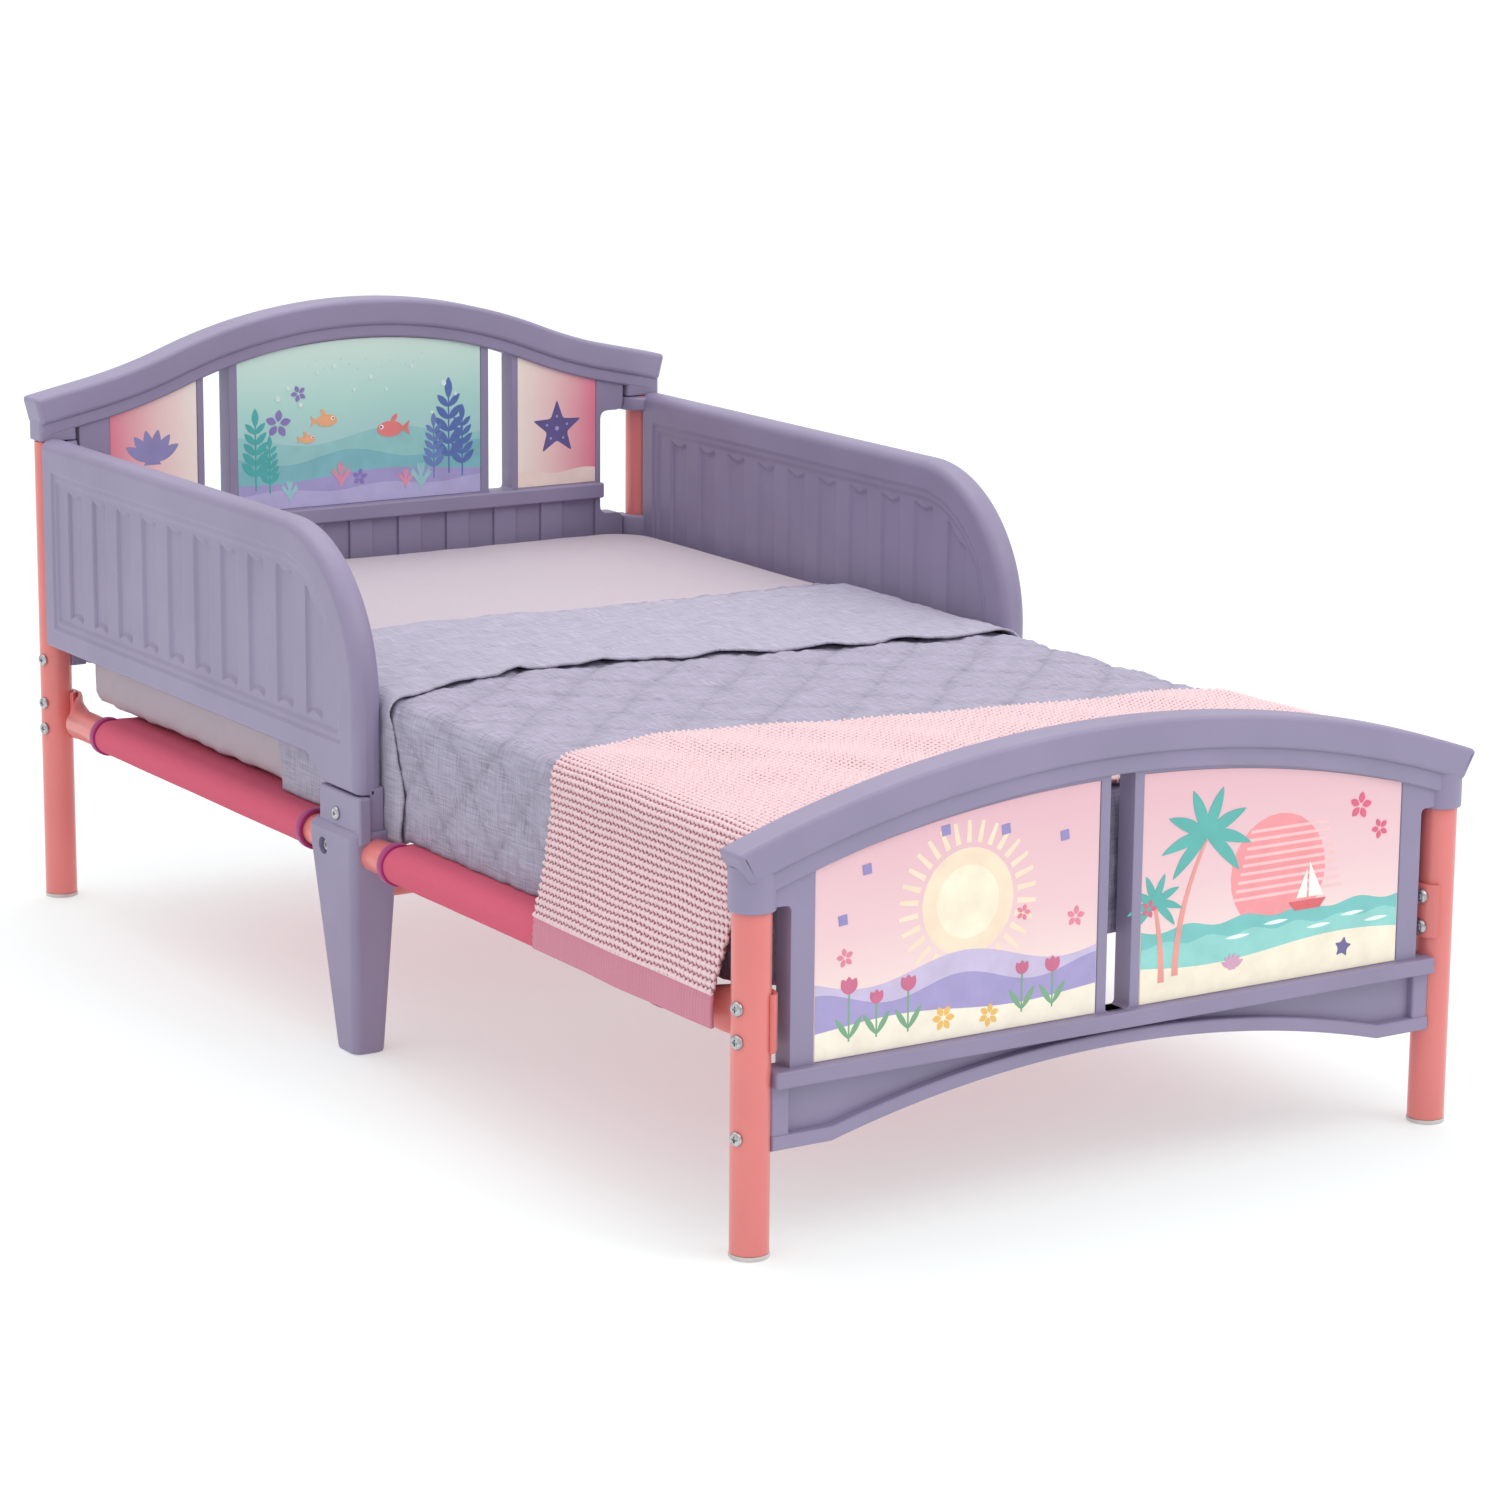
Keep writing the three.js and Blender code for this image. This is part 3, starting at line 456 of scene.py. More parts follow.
def moulded_plastic(name, color):
    """Blow-moulded plastic: a fine pebble, soft gloss and faint flow marks."""
    made = material(name, color, 0.42, Specular_IOR_Level=0.45)
    place = position(made)
    mottled(made, place, 9, 5, shade(color, 0.94), shade(color, 1.06))
    roughness_from(made, noise(made, place, 60, 4), 0.36, 0.5)
    broad = bump(made, noise(made, place, 26, 2), 0.12, 0.002)
    bump(made, noise(made, place, 1500, 3), 0.16, 0.00025, broad)
    return made


def powder_paint(name, color):
    """Powder-coated steel: glossy with a slight orange peel."""
    made = material(name, color, 0.3, Specular_IOR_Level=0.5, Coat_Weight=0.25, Coat_Roughness=0.12)
    place = position(made)
    mottled(made, place, 14, 4, shade(color, 0.95), shade(color, 1.04))
    roughness_from(made, noise(made, place, 120, 3), 0.26, 0.38)
    bump(made, noise(made, place, 420, 2), 0.16, 0.0003)
    return made


def zinc_plate(name):
    color = srgb(190, 190, 195)
    made = material(name, color, 0.3, Metallic=1.0)
    place = position(made)
    spangle = noise(made, place, 300, 5)
    color_from(made, ramp(made, spangle, (0.25, srgb(150, 148, 150)), (0.75, srgb(214, 213, 216))))
    roughness_from(made, noise(made, place, 700, 4), 0.22, 0.45)
    bump(made, noise(made, place, 2600, 2), 0.12, 0.0001)
    return made


def cap_plastic(name):
    color = srgb(214, 206, 206)
    made = material(name, color, 0.42, Subsurface_Weight=0.15, Subsurface_Scale=0.004)
    place = position(made)
    mottled(made, place, 90, 4, srgb(200, 190, 190), color)
    bump(made, noise(made, place, 900, 3), 0.15, 0.0002)
    return made


def woven(name, color, pitch, contrast, sheen, slub=0.0, strength=0.5, stitched_with_painted_shade=False):
    """A plain weave of a thread pitch in metres, with slubs along the threads.
    A quilted one has painted shade along its stitch lines, where the creases lie in shade."""
    made = material(name, color, 0.9, Sheen_Weight=sheen, Sheen_Roughness=0.5, Specular_IOR_Level=0.2)
    shader_of(made).inputs["Sheen Tint"].default_value = (*shade(color, 1.5), 1)
    place = flat_cloth(made)
    waves_per_metre = 0.05 * 2 * math.pi / pitch
    warp = wave(made, place, "X", waves_per_metre, 0.6, 1, 2)
    weft = wave(made, place, "Y", waves_per_metre, 0.6, 1, 2)
    threads = times(made, warp, weft)
    along = noise(made, flat_cloth(made, (30, 620, 1)), 1, 3)
    across = noise(made, flat_cloth(made, (620, 30, 1)), 1, 3)
    slubs = minus(made, plus(made, along, across), 0.5)
    tone = plus(made, times(made, threads, 1 - slub), times(made, slubs, slub))
    if stitched_with_painted_shade:
        puff = node(made, "ShaderNodeAttribute", attribute_name="puff")
        stitch_line_shade = arithmetic(made, "POWER", minus(made, 1, puff.outputs["Fac"]), 2)
        # painted shade: darker near the stitch lines, where the quilting's creases fall into shade
        tone = minus(made, tone, times(made, stitch_line_shade, 0.3))
    stops = ((0.0, 1 - 2.2 * contrast), (0.3, 1 - contrast), (0.75, 1 + contrast * 0.6))
    color_from(made, ramp(made, tone, *((at, shade(color, factor)) for at, factor in stops)))
    soft = bump(made, noise(made, place, 60, 4), 0.8 if stitched_with_painted_shade else 0.4, 0.0018)
    bump(made, tone, strength, 0.0004, soft)
    return made


def knit(name, color, painted_gap_shade):
    """Garter stitch: rows of small loops, with painted shade in the gaps between the ridges."""
    made = material(name, color, 0.92, Sheen_Weight=0.35, Sheen_Roughness=0.5, Specular_IOR_Level=0.2)
    shader_of(made).inputs["Sheen Tint"].default_value = (*shade(color, 1.2), 1)
    ridge = node(made, "ShaderNodeAttribute", attribute_name="ridge")
    place = flat_cloth(made)
    loops = wave(made, place, "Y", 0.05 * 2 * math.pi / 0.0044, 1.2, 2, 3)
    fuzz = noise(made, place, 900, 4)
    height = plus(made, times(made, loops, 0.6), times(made, fuzz, 0.4))
    depth = plus(made, ridge.outputs["Fac"], times(made, height, 0.3))
    # painted shade: the gap colour and the dimmed middle stop fall where the knit lies low between ridges and
    # loops
    color_from(made, ramp(made, depth, (0.2, painted_gap_shade), (0.54, shade(color, 0.85)), (0.9, color)))
    bump(made, height, 0.7, 0.0008)
    return made


def tape(name, color):
    """Ribbed binding tape."""
    made = material(name, color, 0.6, Sheen_Weight=0.3)
    ribs = wave(made, position(made), "Z", 0.05 * 2 * math.pi / 0.0011, 0.5)
    color_from(made, ramp(made, ribs, (0.1, shade(color, 0.75)), (0.9, color)))
    bump(made, ribs, 0.5, 0.0003)
    return made


def print_sheet(name, axis, low, high, *stops):
    """Glossy printed film whose colours change between two places along an axis,
    either way from the bed's middle."""
    made = material(name, stops[0][1], 0.28, Coat_Weight=0.4, Coat_Roughness=0.15)
    separate = node(made, "ShaderNodeSeparateXYZ")
    link(made, position(made), separate.inputs["Vector"])
    spread = node(made, "ShaderNodeMapRange")
    spread.inputs["From Min"].default_value = low * MM
    spread.inputs["From Max"].default_value = high * MM
    either_way = node(made, "ShaderNodeMath", operation="ABSOLUTE")
    link(made, separate.outputs[axis], either_way.inputs[0])
    link(made, either_way.outputs["Value"], spread.inputs["Value"])
    mottle = times(made, minus(made, noise(made, position(made), 14, 3), 0.5), 0.12)
    color_from(made, ramp(made, plus(made, spread.outputs["Result"], mottle), *stops))
    bump(made, noise(made, position(made), 160, 2), 0.05, 0.0004)
    return made


INKS = {}


def ink(red, green, blue):
    """A printed colour, made once."""
    key = (red, green, blue)
    if key not in INKS:
        color = srgb(*key)
        made = material("ink_%03d_%03d_%03d" % key, color, 0.3, Coat_Weight=0.35, Coat_Roughness=0.15)
        mottled(made, position(made), 45, 4, shade(color, 0.92), shade(color, 1.05))
        INKS[key] = made
    return INKS[key]


LAVENDER = moulded_plastic("lavender_plastic", srgb(146, 136, 165))
CORAL = powder_paint("coral_paint", srgb(226, 124, 120))
ZINC = zinc_plate("zinc_hardware")
CAP_WHITE = cap_plastic("foot_cap_plastic")
SLEEVE = woven("deck_fabric", srgb(228, 104, 130), 0.0011, 0.12, 0.25)
BINDING = tape("deck_binding", srgb(172, 16, 112))
COVER = woven("mattress_cover", srgb(240, 236, 232), 0.0009, 0.05, 0.2)
SHEET_COTTON = woven("sheet_cotton", srgb(198, 186, 195), 0.0007, 0.03, 0.15, strength=0.2)
# The quilt linen has painted shade along its stitch lines.
QUILT_LINEN = woven("quilt_linen", srgb(174, 168, 188), 0.0012, 0.24, 0.2, slub=0.85, strength=0.8,
                    stitched_with_painted_shade=True)
CUFF_LINEN = woven("quilt_reverse_linen", srgb(182, 177, 195), 0.0012, 0.24, 0.2, slub=0.85,
                   strength=0.8)
# The second colour of each knit is painted shade for the gaps between its ridges.
THROW_YARN = knit("throw_knit", srgb(240, 210, 214), srgb(146, 54, 82))
HEM_YARN = knit("throw_hem_knit", srgb(204, 136, 154), srgb(170, 92, 116))


# ---- camera, light and floor ----------------------------------------------------

def make_camera():
    yaw, pitch, roll = (math.radians(CAMERA[key]) for key in ("yaw", "pitch", "roll"))
    forward = np.array([math.sin(yaw) * math.cos(pitch), math.cos(yaw) * math.cos(pitch), -math.sin(pitch)])
    right = np.array([math.cos(yaw), -math.sin(yaw), 0])
    up = np.cross(right, forward)
    turned_right = math.cos(roll) * right + math.sin(roll) * up
    turned_up = math.cos(roll) * up - math.sin(roll) * right
    data = bpy.data.cameras.new("camera")
    data.lens = CAMERA["lens"]
    data.sensor_width = CAMERA["sensor"]
    data.shift_x, data.shift_y = CAMERA["shift"]
    data.clip_end = 50
    camera = bpy.data.objects.new("camera", data)
    columns = np.stack([turned_right, turned_up, -forward], 1)
    matrix = Matrix([[*row, place * MM] for row, place in zip(columns, CAMERA["at"])] + [[0, 0, 0, 1]])
    camera.matrix_world = matrix
    bpy.context.scene.collection.objects.link(camera)
    bpy.context.scene.camera = camera


def add_light(name, place, target, size, power):
    data = bpy.data.lights.new(name, "AREA")
    data.shape = "DISK"
    data.size = size
    data.energy = power
    light = bpy.data.objects.new(name, data)
    direction = np.array(target, float) - np.array(place, float)
    z_axis = -direction / np.linalg.norm(direction)
    x_axis = np.cross((0, 0, 1), z_axis)
    x_axis /= np.linalg.norm(x_axis)
    columns = np.stack([x_axis, np.cross(z_axis, x_axis), z_axis], 1)
    light.matrix_world = Matrix([[*row, at] for row, at in zip(columns, place)] + [[0, 0, 0, 1]])
    bpy.context.scene.collection.objects.link(light)


def make_stage():
    bpy.context.scene.view_settings.view_transform = "Standard"
    world = bpy.data.worlds.new("studio")
    world.use_nodes = True
    background = world.node_tree.nodes["Background"]
    background.inputs["Strength"].default_value = SKY_STRENGTH
    place = node(world, "ShaderNodeTexCoord")
    height = node(world, "ShaderNodeSeparateXYZ")
    link(world, place.outputs["Generated"], height.inputs["Vector"])
    glow = ramp(world, height.outputs["Z"], (0.0, SKY_HORIZON), (0.9, SKY_ZENITH))
    link(world, glow, background.inputs["Color"])
    bpy.context.scene.world = world
    for light in LIGHTS:
        add_light(*light)
    paper = material("studio_paper", PAPER, 0.9, Emission_Color=(1, 1, 1, 1), Emission_Strength=PAPER_GLOW)
    mottled(paper, position(paper), 3, 2, shade(PAPER, 0.99), shade(PAPER, 1.01))
    outline = [(x * FLOOR_HALF, y * FLOOR_HALF, 0) for x, y in ((-1, -1), (1, -1), (1, 1), (-1, 1))]
    floor = add_object("studio_floor", (np.array(outline, float), [[0, 1, 2, 3]]), paper)


make_camera()
make_stage()


# ---- posts, caps and fasteners --------------------------------------------------

def upright(part, sx, sy):
    return placed(part, Matrix.Translation((sx * POST["x"], sy * POST["y"], 0)))


def make_posts():
    for end, sy, side, sx in CORNERS:
        top = POST[end + "_top"]
        tube = lathe(rounded_profile(POST["radius"], CAP["height"] + SEAT_GAP, top, 0.6))
        fixed(f"post_{end}_{side}_painted", upright(tube, sx, sy), CORAL, 40, f"post_{end}_{side}")
        low = [(CAP["radius"] - 1.4, 0), (CAP["radius"] - 0.5, 0.4), (CAP["radius"], 1.2)]
        high = [(CAP["radius"], 3.2), (CAP["radius"] - 0.7, 4), (12, 4), (12, 20)]
        cap = upright(lathe(low + high), sx, sy)
        fixed(f"foot_cap_{end}_{side}_moulded", cap, CAP_WHITE, 40, f"foot_cap_{end}_{side}")


def driver_head(head, segments=48, rings=12):
    """A domed head with a cross recess and its shaft along +Z; its underside is at zero."""
    radius, height = head["radius"], head["height"]
    angles = np.linspace(0, 2 * np.pi, segments, endpoint=False)
    cross = 1 + 0.45 * np.cos(4 * angles)
    levels = []
    for depth, width in ((1.6, 0.18), (1.6, 0.26), (0.1, 0.36)):
        reach = radius * width * cross
        levels.append([(r * math.cos(a), r * math.sin(a), height - depth) for r, a in zip(reach, angles)])
    for i in range(rings):
        part = i / (rings - 1)
        reach = radius * (0.56 + 0.44 * math.sin(part * math.pi / 2))
        fall = height * (0.02 + 0.83 * (1 - math.cos(part * math.pi / 2)))
        levels.append([(reach * math.cos(a), reach * math.sin(a), height - fall) for a in angles])
    for reach, at in ((radius, 0.3), (radius - 0.3, 0), (head["shaft"], 0), (head["shaft"], -head["length"])):
        levels.append([(reach * math.cos(a), reach * math.sin(a), at) for a in angles])
    return loft(levels[::-1])


def pin_matrix(sx, sy, z, seat):
    """Where a fastener built along +Z goes in a post: its head points away from the bed."""
    turn = BOLT_TURN + (math.pi if sx > 0 else 0)
    outward = np.array([-math.cos(turn), -math.sin(turn), 0])
    sideways = np.cross((0, 0, 1), outward)
    columns = np.stack([sideways, np.cross(outward, sideways), outward], 1)
    place = np.array([sx * POST["x"], sy * POST["y"], z]) + outward * seat
    return Matrix([[*row, at] for row, at in zip(columns, place)] + [[0, 0, 0, 1]])


def side_matrix(sx, y, z, x):
    """Where a fastener built along +Z goes in a leg's outer face."""
    outward = np.array([sx, 0, 0])
    sideways = np.cross((0, 0, 1), outward)
    columns = np.stack([sideways, np.cross(outward, sideways), outward], 1)
    return Matrix([[*row, at] for row, at in zip(columns, (sx * x, y, z))] + [[0, 0, 0, 1]])


def make_fasteners():
    rows = (("upper", RAIL["z"] + RAIL["bolt_spread"]), ("lower", RAIL["z"] - RAIL["bolt_spread"]))
    seat = POST["radius"] + SEAT_GAP
    for end, sy, side, sx in CORNERS:
        for row, z in rows:
            label = f"{end}_{side}_{row}"
            bolt = placed(driver_head(BOLT_HEAD), pin_matrix(sx, sy, z, seat))
            fixed(f"bolt_{label}", bolt, ZINC, 35, f"rail_bolt_{label}")
            turned = pin_matrix(sx, sy, z, -NUT["seat"] - SEAT_GAP) @ Matrix.Rotation(math.pi, 4, "X")
            fixed(f"nut_{label}", placed(driver_head(NUT), turned), ZINC, 35, f"rail_nut_{label}")
        z = HEAD["screw_z"] if end == "head" else FOOT["screw_z"]
        screw = placed(driver_head(SCREW_HEAD), pin_matrix(sx, sy, z, seat))
        fixed(f"{end}board_screw_{side}_plated", screw, ZINC, 35, f"{end}board_screw_{side}")
    in_leg = (("guardrail_screw", SCREW_HEAD, LEG["screw"], LEG["tongue_x"][1]),
              ("leg_bolt", BOLT_HEAD, LEG["bolt"], LEG["seat"]))
    for side, sx in SIDES:
        for name, head, place, face in in_leg:
            short = driver_head(dict(head, length=head["short"]))
            part = placed(short, side_matrix(sx, *place, face + SEAT_GAP))
            fixed(f"{name}_{side}_plated", part, ZINC, 35, f"{name}_{side}")


make_posts()
make_fasteners()


# ---- side rails and cross bar ---------------------------------------------------

RAIL_SECTIONS = (
    # along Y, centre X, half width, half height, squareness
    (601, 345.5, 15, 15, 1.0), (605, 343.5, 13, 17, 0.9), (615, 340.5, 9.5, 19.2, 0.75),
    (625, 335.5, 6, 21, 0.6), (633, 330, 3.2, 22.6, 0.42), (641, 327, 2.1, 23.5, 0.3),
    (657, 327, 2.1, 23.5, 0.3),
)


def rail_ring(y, x, half_width, half_height, power, sy):
    """The rail's section: an ellipse, squarer as its power falls."""
    angles = np.linspace(0, 2 * np.pi, 48, endpoint=False)
    across, up = (np.sign(value) * np.abs(value) ** power for value in (np.cos(angles), np.sin(angles)))
    return [(x + half_width * a, sy * y, RAIL["z"] + half_height * b) for a, b in zip(across, up)]


def saddle(sy):
    """The plate's hollow end, wrapped round the bed side of the post, for the right side."""
    section = rounded_rect((SADDLE["inner"], SADDLE["outer"]), (-SADDLE["half"], SADDLE["half"]), 1.6, 3)
    turns = np.radians(np.linspace(180 - SADDLE["spread"], 180 + SADDLE["spread"], 25))
    return loft(post_rings(section, turns, sy, RAIL["z"]))


def post_rings(section, turns, sy=1, lift=0):
    """A section of (reach, height) pairs carried round a right-hand post."""
    x, y = POST["x"], sy * POST["y"]
    return [[(x + r * math.cos(t), y + r * math.sin(t), lift + h) for r, h in section] for t in turns]


def make_rails():
    for end, sy, side, sx in CORNERS:
        start = -10 if end == "head" else 10.3
        radius = RAIL["radius"]
        mouth = [(y, POST["x"], r, r, 1.0) for y, r in ((start, radius - 0.8), (start + 0.8, radius))]
        plain = [(y, POST["x"], radius, radius, 1.0) for y in range(40, 600, 80)]
        rail = loft([rail_ring(*section, sy) for section in (*mouth, *plain, *RAIL_SECTIONS)])
        part = at_side(merge(rail, saddle(sy)), sx)
        fixed(f"side_rail_{end}_{side}_painted", part, CORAL, 40, f"side_rail_{end}_{side}")
    bar = lathe(rounded_profile(CROSS_BAR["radius"], -CROSS_BAR["half"], CROSS_BAR["half"], 0.6), 48)
    lying = Matrix.Translation((0, CROSS_BAR["y"], CROSS_BAR["z"])) @ Matrix.Rotation(math.pi / 2, 4, "Y")
    fixed("cross_bar_painted", placed(bar, lying), CORAL, 40, "cross_bar")


make_rails()


# ---- headboard and footboard ----------------------------------------------------

def head_crown(x):
    """Height of the headboard's crown: an arc that sweeps out into straight tails."""
    reach = abs(x)
    arc, shoulder, sweep, end = HEAD["arc"], HEAD["shoulder"], HEAD["sweep"], HEAD["tail"]
    drop = arc - math.sqrt(arc ** 2 - min(reach, shoulder) ** 2)
    if reach <= shoulder:
        return HEAD["peak"] - drop
    start = math.asin(shoulder / arc)
    width = sweep * (math.sin(start) - math.sin(end))
    turned = math.sin(start) - min(reach - shoulder, width) / sweep
    sweep_drop = sweep * (math.sqrt(1 - turned ** 2) - math.cos(start))
    return HEAD["peak"] - drop - sweep_drop - max(reach - shoulder - width, 0) * math.tan(end)


def foot_crown(x):
    """Height of the footboard's crown: one arc."""
    return FOOT["peak"] - FOOT["arc"] + math.sqrt(FOOT["arc"] ** 2 - x ** 2)


def below(crown, x, depth):
    """The point at a depth below a crown, measured square to it."""
    slope = crown(x + 0.5) - crown(x - 0.5)
    length = math.hypot(1, slope)
    return x + depth * slope / length, crown(x) - depth / length


def crown_line(crown, start, stop, depth, steps=72):
    return [below(crown, start + (stop - start) * i / steps, depth) for i in range(steps + 1)]


def crown_band(crown, half_top, half_bottom, shallow, deep):
    top = crown_line(crown, half_top, -half_top, shallow)
    return top + crown_line(crown, -half_bottom, half_bottom, deep)


def under_crown(crown, xs, floor, depth, steps=32):
    """The outline from a floor line up to a depth below a crown, between two X values."""
    x0, x1 = sorted(xs)
    places = [x1 + (x0 - x1) * i / steps for i in range(steps + 1)]
    return [(x0, floor), (x1, floor)] + [(x, below(crown, x, depth)[1]) for x in places]


def with_round_corners(points, radius, steps=4, sharpest=150):
    """The outline with its sharp corners rounded off."""
    rounded = []
    for before, corner, after in zip(points[-1:] + points[:-1], points, points[1:] + points[:1]):
        a, c, b = (np.array(p, float) for p in (before, corner, after))
        to_a, to_b = a - c, b - c
        len_a, len_b = np.linalg.norm(to_a), np.linalg.norm(to_b)
        angle = math.degrees(math.acos(np.clip(to_a @ to_b / (len_a * len_b), -1, 1)))
        if angle > sharpest:
            rounded.append(tuple(corner))
            continue
        reach = min(radius, 0.45 * len_a, 0.45 * len_b)
        start, end = c + to_a / len_a * reach, c + to_b / len_b * reach
        for i in range(steps + 1):
            t = i / steps
            rounded.append(tuple((1 - t) ** 2 * start + 2 * t * (1 - t) * c + t ** 2 * end))
    return rounded


def head_panel_outline():
    """The panel's edge, notched beside each post."""
    half, (gap_x, gap_low, gap_high) = HEAD["panel_half"], HEAD["gap"]
    right = [(half, HEAD["bottom"]), (half, gap_low), (gap_x, gap_low), (gap_x, gap_high), (half, gap_high)]
    crown = [(x, below(head_crown, x, HEAD["frieze"] - PANEL_TUCK)[1]) for x in np.linspace(half, -half, 61)]
    left = [(-x, z) for x, z in right[::-1]]
    return with_round_corners(right + crown + left, 9)


def head_slots():
    return [with_round_corners(under_crown(head_crown, (sx * HEAD["slot"][0], sx * HEAD["slot"][1]),
                                           HEAD["ledge"][3], HEAD["frieze"], 6), 4) for sx in (-1, 1)]


def head_art_opening(name):
    low, high = HEAD["side_art"]
    spans = {"left": (-high, -low), "centre": (-HEAD["art_half"], HEAD["art_half"]), "right": (low, high)}
    return under_crown(head_crown, spans[name], HEAD["art_bottom"], HEAD["art_depth"])


def foot_art_opening(name):
    low, high = FOOT["art"]
    spans = {"left": (-high, -low), "right": (low, high)}
    return under_crown(foot_crown, spans[name], FOOT["ledge"][3] + 0.5, FOOT["art_depth"])


def board_band(crown, size, shallow_grow):
    """The top rail and the narrower moulding under it."""
    rail = crown_band(crown, size["half_top"], size["half_bottom"], 0, size["band"])
    moulding = crown_band(crown, size["half_top"] - shallow_grow, size["half_bottom"] - 5,
                          size["band"] - 2, size["frieze"])
    return [slab([with_round_corners(rail, 5)], size["band_y"], 5, segments=5),
            slab([moulding], size["frieze_y"], 2.5)]


def foot_collars():
    """The collar over each post at the foot."""
    low, high = POST["foot_top"] + SEAT_GAP, COLLAR["foot_top"]
    profile = rounded_profile(COLLAR["radius"], low, high, COLLAR["bevel"])
    return [upright(lathe(profile), sx, -1) for _, sx in SIDES]


def post_ears(size):
    """The lugs that the post screws hold."""
    low, high = EAR_X
    return [slab([rounded_rect((sx * low, sx * high), size["ear_y"], 2.5)], size["ear_z"], 1.2, XY)
            for _, sx in SIDES]


def head_battens():
    floor, rise = HEAD["bead_floor"], BEAD["rise"]
    parts = []
    for i in range(-BEAD["count"], BEAD["count"] + 1):
        middle = i * BEAD["period"]
        outline = rounded_rect((middle - BEAD["width"] / 2, middle + BEAD["width"] / 2),
                               (HEAD["bead_low"] - 2, HEAD["ledge"][2] + 3), 2)
        parts.append(slab([outline], (floor - rise, floor + 2), 1.4))
    return parts


def make_headboard():
    front, back = HEAD["panel_y"]
    outline, slots = head_panel_outline(), head_slots()
    openings = [with_round_corners(head_art_opening(name), 1.5) for name in ("left", "centre", "right")]
    field = rounded_rect((-HEAD["bead_half"], HEAD["bead_half"]), (HEAD["bead_low"], HEAD["ledge"][2] + 1), 3)
    parts = board_band(head_crown, HEAD, 4)
    parts.append(slab([outline] + slots, (HEAD["bead_floor"], back), 1.2))
    parts.append(slab([outline] + slots + openings + [field], (front, HEAD["bead_floor"] + 1), 0.9))
    half, ledge_front, low, high = HEAD["ledge"]
    parts.append(slab([rounded_rect((-half, half), (ledge_front, front + 4), 2.5)], (low, high), 2.2, XY))
    parts += head_battens()
    parts += post_ears(HEAD)
    (near, far), (low_x, high_x) = HEAD["frieze_y"], HEAD["end_block"]
    for _, sx in SIDES:
        block = rounded_rect((sx * low_x, sx * high_x), (near + 0.4, far - 0.4), 4)
        parts.append(slab([block], (POST["head_top"] + 0.8, HEAD["end_top"]), 1.5, XY))
    fixed("headboard_moulding", merge(*parts), LAVENDER, 35, "headboard_shell", weighted=True)


def apron_edge(x):
    """Height of the apron's lower edge: flat ends and a low arch between them."""
    flat, low, rise = FOOT["apron_flat"], FOOT["apron_low"], FOOT["apron_rise"]
    radius = (flat ** 2 + rise ** 2) / (2 * rise)
    return low if abs(x) >= flat else low + rise - radius + math.sqrt(radius ** 2 - x ** 2)


def apron_outline(top):
    half, flat = FOOT["apron_half"], FOOT["apron_flat"]
    places = [-half] + list(np.linspace(-flat, flat, 61)) + [half]
    return [(x, apron_edge(x)) for x in places] + [(x, top(x)) for x in places[::-1]]


def foot_panel_outline():
    half, wide = FOOT["panel_half"], FOOT["shoulder_half"]
    low, gap = FOOT["ledge"][2] + 2, FOOT["gap_top"]
    right = [(half, low), (half, gap), (wide, gap)]
    crown = [(x, below(foot_crown, x, FOOT["frieze"] - PANEL_TUCK)[1]) for x in np.linspace(wide, -wide, 61)]
    return with_round_corners(right + crown + [(-x, z) for x, z in right[::-1]], 5)


def make_footboard():
    front, back = FOOT["panel_y"]
    outline = foot_panel_outline()
    slot = with_round_corners(under_crown(foot_crown, (-FOOT["slot"], FOOT["slot"]), FOOT["ledge"][3],
                                          FOOT["frieze"], 6), 4)
    openings = [with_round_corners(foot_art_opening(name), 1.5) for name in ("left", "right")]
    parts = board_band(foot_crown, FOOT, 6)
    parts.append(slab([outline, slot], (FOOT["art_floor"], back), 1.2))
    parts.append(slab([outline, slot] + openings, (front, FOOT["art_floor"] + 1), 0.8))
    half, ledge_front, low, high = FOOT["ledge"]
    shelf = rounded_rect((-half, half), (ledge_front, back - SEAT_GAP), 2.5)
    parts.append(slab([shelf], (low, high), 2.2, XY))
    parts.append(slab([apron_outline(lambda x: low + 2)], FOOT["apron_y"], 1.5))
    parts.append(slab([apron_outline(lambda x: apron_edge(x) + FOOT["lip"])], FOOT["lip_y"], 2.4))
    parts += post_ears(FOOT) + foot_collars()
    fixed("footboard_moulding", merge(*parts), LAVENDER, 35, "footboard_shell", weighted=True)


make_headboard()
make_footboard()


# ---- guardrails -----------------------------------------------------------------

def guard_top(y):
    drop = np.clip(GUARD["arc_y"] - y, 0, GUARD["arc"])
    return GUARD["arc_z"] + np.sqrt(GUARD["arc"] ** 2 - drop ** 2)


def guard_bottom(y):
    return GUARD["tab_low"] + (GUARD["bottom"] - GUARD["tab_low"]) * smoothstep(*GUARD["tab"], y)


def crown_distance(y, z):
    """Distance in from the guardrail's top and foot edges."""
    in_arc = (y < GUARD["arc_y"]) & (z > GUARD["arc_z"])
    round_part = GUARD["arc"] - np.hypot(y - GUARD["arc_y"], z - GUARD["arc_z"])
    under_top = GUARD["top"] - z
    straight = np.where(z <= GUARD["arc_z"], np.minimum(y - GUARD["foot"], under_top), under_top)
    return np.where(in_arc, round_part, straight)


